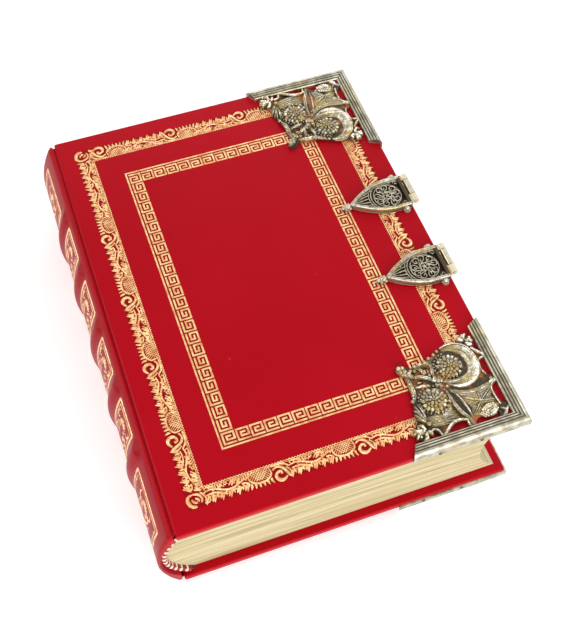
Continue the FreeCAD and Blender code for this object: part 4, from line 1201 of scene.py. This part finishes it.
lines = [
    [(a, w, 1.65, 0.24) for a, w in round_path(heart, 0, 6.7, 0, 360, 29)],
    [(a, w, 1.95, 0.27) for a, w in round_path(heart, 0, 2.1, 0, 360, 15)],
    [(a, w, 1.75, 0.28) for a, w in round_path(heart, 0, 8.1, -62, 62, 13)],
    [(a, w, 1.65, 0.24) for a, w in round_path(heart, 0, 9.1, -54, 54, 11)],
]
scroll = ((0, 2.2), (16, 3.2), (27, 4.5), (24, 5.9), (10, 6.3), (-2, 5.6), (-3, 4.5), (5, 3.9))
for k in range(9):
    turn = 40 * k + (6 if k % 2 else 0)
    lines.append([on_wheel(reach, math.radians(turn + angle), 1.85, 0.24) for angle, reach in scroll])
    around = math.radians(turn - 9)
    lines.append([
        on_wheel(2.1, around, 1.8, 0.2), on_wheel(3.4, math.radians(turn + 4), 1.8, 0.22),
        on_wheel(5.0, around + 0.35, 1.8, 0.2),
    ])
for k in range(5):
    around = math.radians(72 * k)
    lines.append([
        (heart, 0, 2.05, 0.24), on_wheel(1.1, around + 0.5, 2.05, 0.24), on_wheel(2.0, around, 1.9, 0.22),
    ])
for w0, w1, bow in ((4.9, 1.1, 0.7), (3.0, 0.7, 0.45), (1.1, 0.25, 0.15)):
    a0 = heart + math.sqrt(9.1 ** 2 - w0 * w0)
    for sign in (1, -1):
        lines.append([
            (a0, sign * w0, 1.65, 0.26), ((a0 + 25.5) / 2, sign * ((w0 + w1) / 2 + bow), 1.75, 0.26),
            (25.8, sign * w1, 1.65, 0.2),
        ])
for a, w, size in ((17.2, 5.6, 1.0), (3.6, 6.2, 1.3), (12.6, 7.1, 0.6), (20.8, 3.9, 0.6), (6.6, 7.2, 0.7)):
    for sign in (1, -1):
        spiral = []
        for k in range(10):
            around = 0.75 * k
            reach = size * (1 - 0.08 * k)
            spiral.append((a + reach * math.cos(around), sign * (w + reach * math.sin(around)), 1.75, 0.22))
        lines.append(spiral)
filigree = Finish("filigree_silver", paint(150, 138, 118), 0.4, metallic=0.9)
# Painted shade: below 1.25 mm above the leather the ground is dark and the wires' low sides get painted
# shade.
low = (abs(filigree.place.axis("Z") - middle_z) - (upper_face - middle_z)).step(1.25 * mm, 1.9 * mm)
tarnish = filigree.place.noise(600, 3.0).step(0.3, 0.7).mix(paint(140, 130, 108), paint(206, 198, 180))
filigree.feed("Base Color", low.mix(paint(52, 42, 30), tarnish))
filigree.feed("Roughness", 0.36 + 0.2 * filigree.place.noise(500, 2.0))
filigree.feed("Normal", filigree.place.noise(1500, 2.0).bump(0.03 * mm, 0.5))
at_clasps("filigree", [ground, rods("filigree_wires", lines, 3), bead(heart, 0, 0.65, 2.35)], filigree,
    "clasp_filigree")
tray = Finish("shield_gilt", paint(176, 166, 140), 0.36, metallic=0.8)
patch = tray.place.noise(160, 4.0).step(0.4, 0.68).mix(paint(188, 182, 166), paint(176, 156, 108))
edge = (1.2 * mm - abs(tray.place.axis("X") - (fore_x - 1.6) * mm)).step(-0.2 * mm, 0.4 * mm)
barrel = tray.place.axis("X").step((fore_x + 0.2) * mm, (fore_x + 0.5) * mm)
tray.feed("Base Color", barrel.mix(edge.mix(patch, paint(78, 64, 46)), paint(212, 202, 172)))
tray.feed("Roughness", 0.3 + 0.2 * tray.place.noise(500, 2.0))
tray.feed("Normal", tray.place.noise(1100, 3.0).bump(0.05 * mm, 0.4))
for end in ("tail", "head"):
    tray.on(cad[f"clasp_shield_{end}"], cad[f"clasp_rivets_{end}"])
    for kind in ("clasp_pin", "clasp_strap", "catch_plate", "catch_peg"):
        drawn_gilt.on(cad[f"{kind}_{end}"])


# What lies out of sight or shows only with the covers open: millboard under the leather, plain
# laid endpapers pasted inside, the card liner of the spine and the linen cords of its bands.
endpaper = Finish("endpaper", paint(226, 212, 178), 0.8)
laid = (endpaper.place.axis("Y") * 5600).maths("SINE")
foxed = endpaper.place.noise(60, 4.0).step(0.45, 0.8)
endpaper.feed("Base Color", foxed.mix(paint(228, 214, 182), paint(222, 206, 170)))
endpaper.feed("Normal", (laid * 0.3 + endpaper.place.noise(900, 3.0)).bump(0.04 * mm, 0.4))
endpaper.on(cad["upper_pastedown"], cad["lower_pastedown"])
card = Finish("board_card", paint(150, 136, 112), 0.85)
flecks = card.place.noise(500, 4.0).step(0.4, 0.75)
card.feed("Base Color", flecks.mix(paint(140, 126, 102), paint(178, 164, 136)))
card.feed("Normal", card.place.noise(800, 4.0).bump(0.08 * mm, 0.6))
card.on(cad["upper_board"], cad["lower_board"], cad["spine_liner"])
linen = Finish("cord_linen", paint(190, 174, 140), 0.85)
twist = (linen.place.axis("Z") * 3000 + linen.place.axis("Y") * 3600).maths("SINE")
linen.feed("Base Color", twist.step(-1, 1).mix(paint(150, 132, 98), paint(200, 186, 152)))
linen.feed("Normal", twist.bump(0.15 * mm, 0.6))
linen.on(*[cad[f"band_cord_{k}"] for k in range(1, 6)])


# The floor and the light: a white table, tilted so that it meets the book's rest on its mounts
# and its spine edge, with four soft boxes, the strongest in front, and pale light all round.
def seen_directly(tree):
    """1 where the camera sees a thing itself, mirrored or through glass, 0 for light on its way."""
    rays = tree.nodes.new("ShaderNodeLightPath")
    seen = Tone(rays.outputs["Is Camera Ray"]) + Tone(rays.outputs["Is Glossy Ray"])
    seen = seen + Tone(rays.outputs["Is Transmission Ray"])
    return seen.maths("MINIMUM", 1.0)


rest_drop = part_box("lower_cover_leather")[0].z
rest_far = 46.4 * mm
rest_near = -72.5 * mm
lean = math.atan2(rest_drop, rest_far - rest_near)
fresh()
bpy.ops.mesh.primitive_plane_add(size=6, location=(rest_far, 0, -0.0001), rotation=(0, lean, 0))
floor = bpy.context.object
floor.name = "floor"
white = bpy.data.materials.new("white_table")
white.use_nodes = True
tree = white.node_tree
tree.nodes.clear()
out = tree.nodes.new("ShaderNodeOutputMaterial")
diffuse = tree.nodes.new("ShaderNodeBsdfDiffuse")
diffuse.inputs["Color"].default_value = (0.86, 0.86, 0.87, 1)
glow = tree.nodes.new("ShaderNodeEmission")
glow.inputs["Color"].default_value = (1, 1, 1, 1)
glow.inputs["Strength"].default_value = 0.38
both = tree.nodes.new("ShaderNodeAddShader")
chosen = tree.nodes.new("ShaderNodeMixShader")
tree.links.new(diffuse.outputs[0], both.inputs[0])
tree.links.new(glow.outputs[0], both.inputs[1])
tree.links.new(seen_directly(tree).socket, chosen.inputs[0])
tree.links.new(diffuse.outputs[0], chosen.inputs[1])
tree.links.new(both.outputs[0], chosen.inputs[2])
tree.links.new(chosen.outputs[0], out.inputs[0])
floor.data.materials.append(white)

world = bpy.data.worlds.new("studio")
bpy.context.scene.world = world
world.use_nodes = True
tree = world.node_tree
backdrop = tree.nodes["Background"]
backdrop.inputs["Color"].default_value = (1, 1, 1, 1)
tree.links.new((seen_directly(tree) * 0.55 + 0.45).socket, backdrop.inputs["Strength"])


def lamp(name, place, aim, size, power):
    bpy.ops.object.light_add(type="AREA", location=place)
    made = bpy.context.object
    made.name = name
    made.data.shape = "RECTANGLE"
    made.data.size, made.data.size_y = size
    made.data.energy = power
    made.rotation_euler = (Vector(aim) - Vector(place)).to_track_quat("-Z", "Y").to_euler()


lamp("front_softbox", (-0.1, -1.0, 0.42), (0, 0, 0.03), (1.3, 0.7), 11)
lamp("left_softbox", (-0.95, 0.45, 0.5), (0, 0, 0.03), (0.5, 0.9), 4)
lamp("right_softbox", (0.9, 0.1, 0.8), (0, 0, 0.03), (0.6, 0.9), 4)
lamp("back_softbox", (0.3, 1.0, 0.5), (0, 0, 0.03), (1.0, 0.5), 3)

bpy.context.scene.view_settings.view_transform = "Standard"
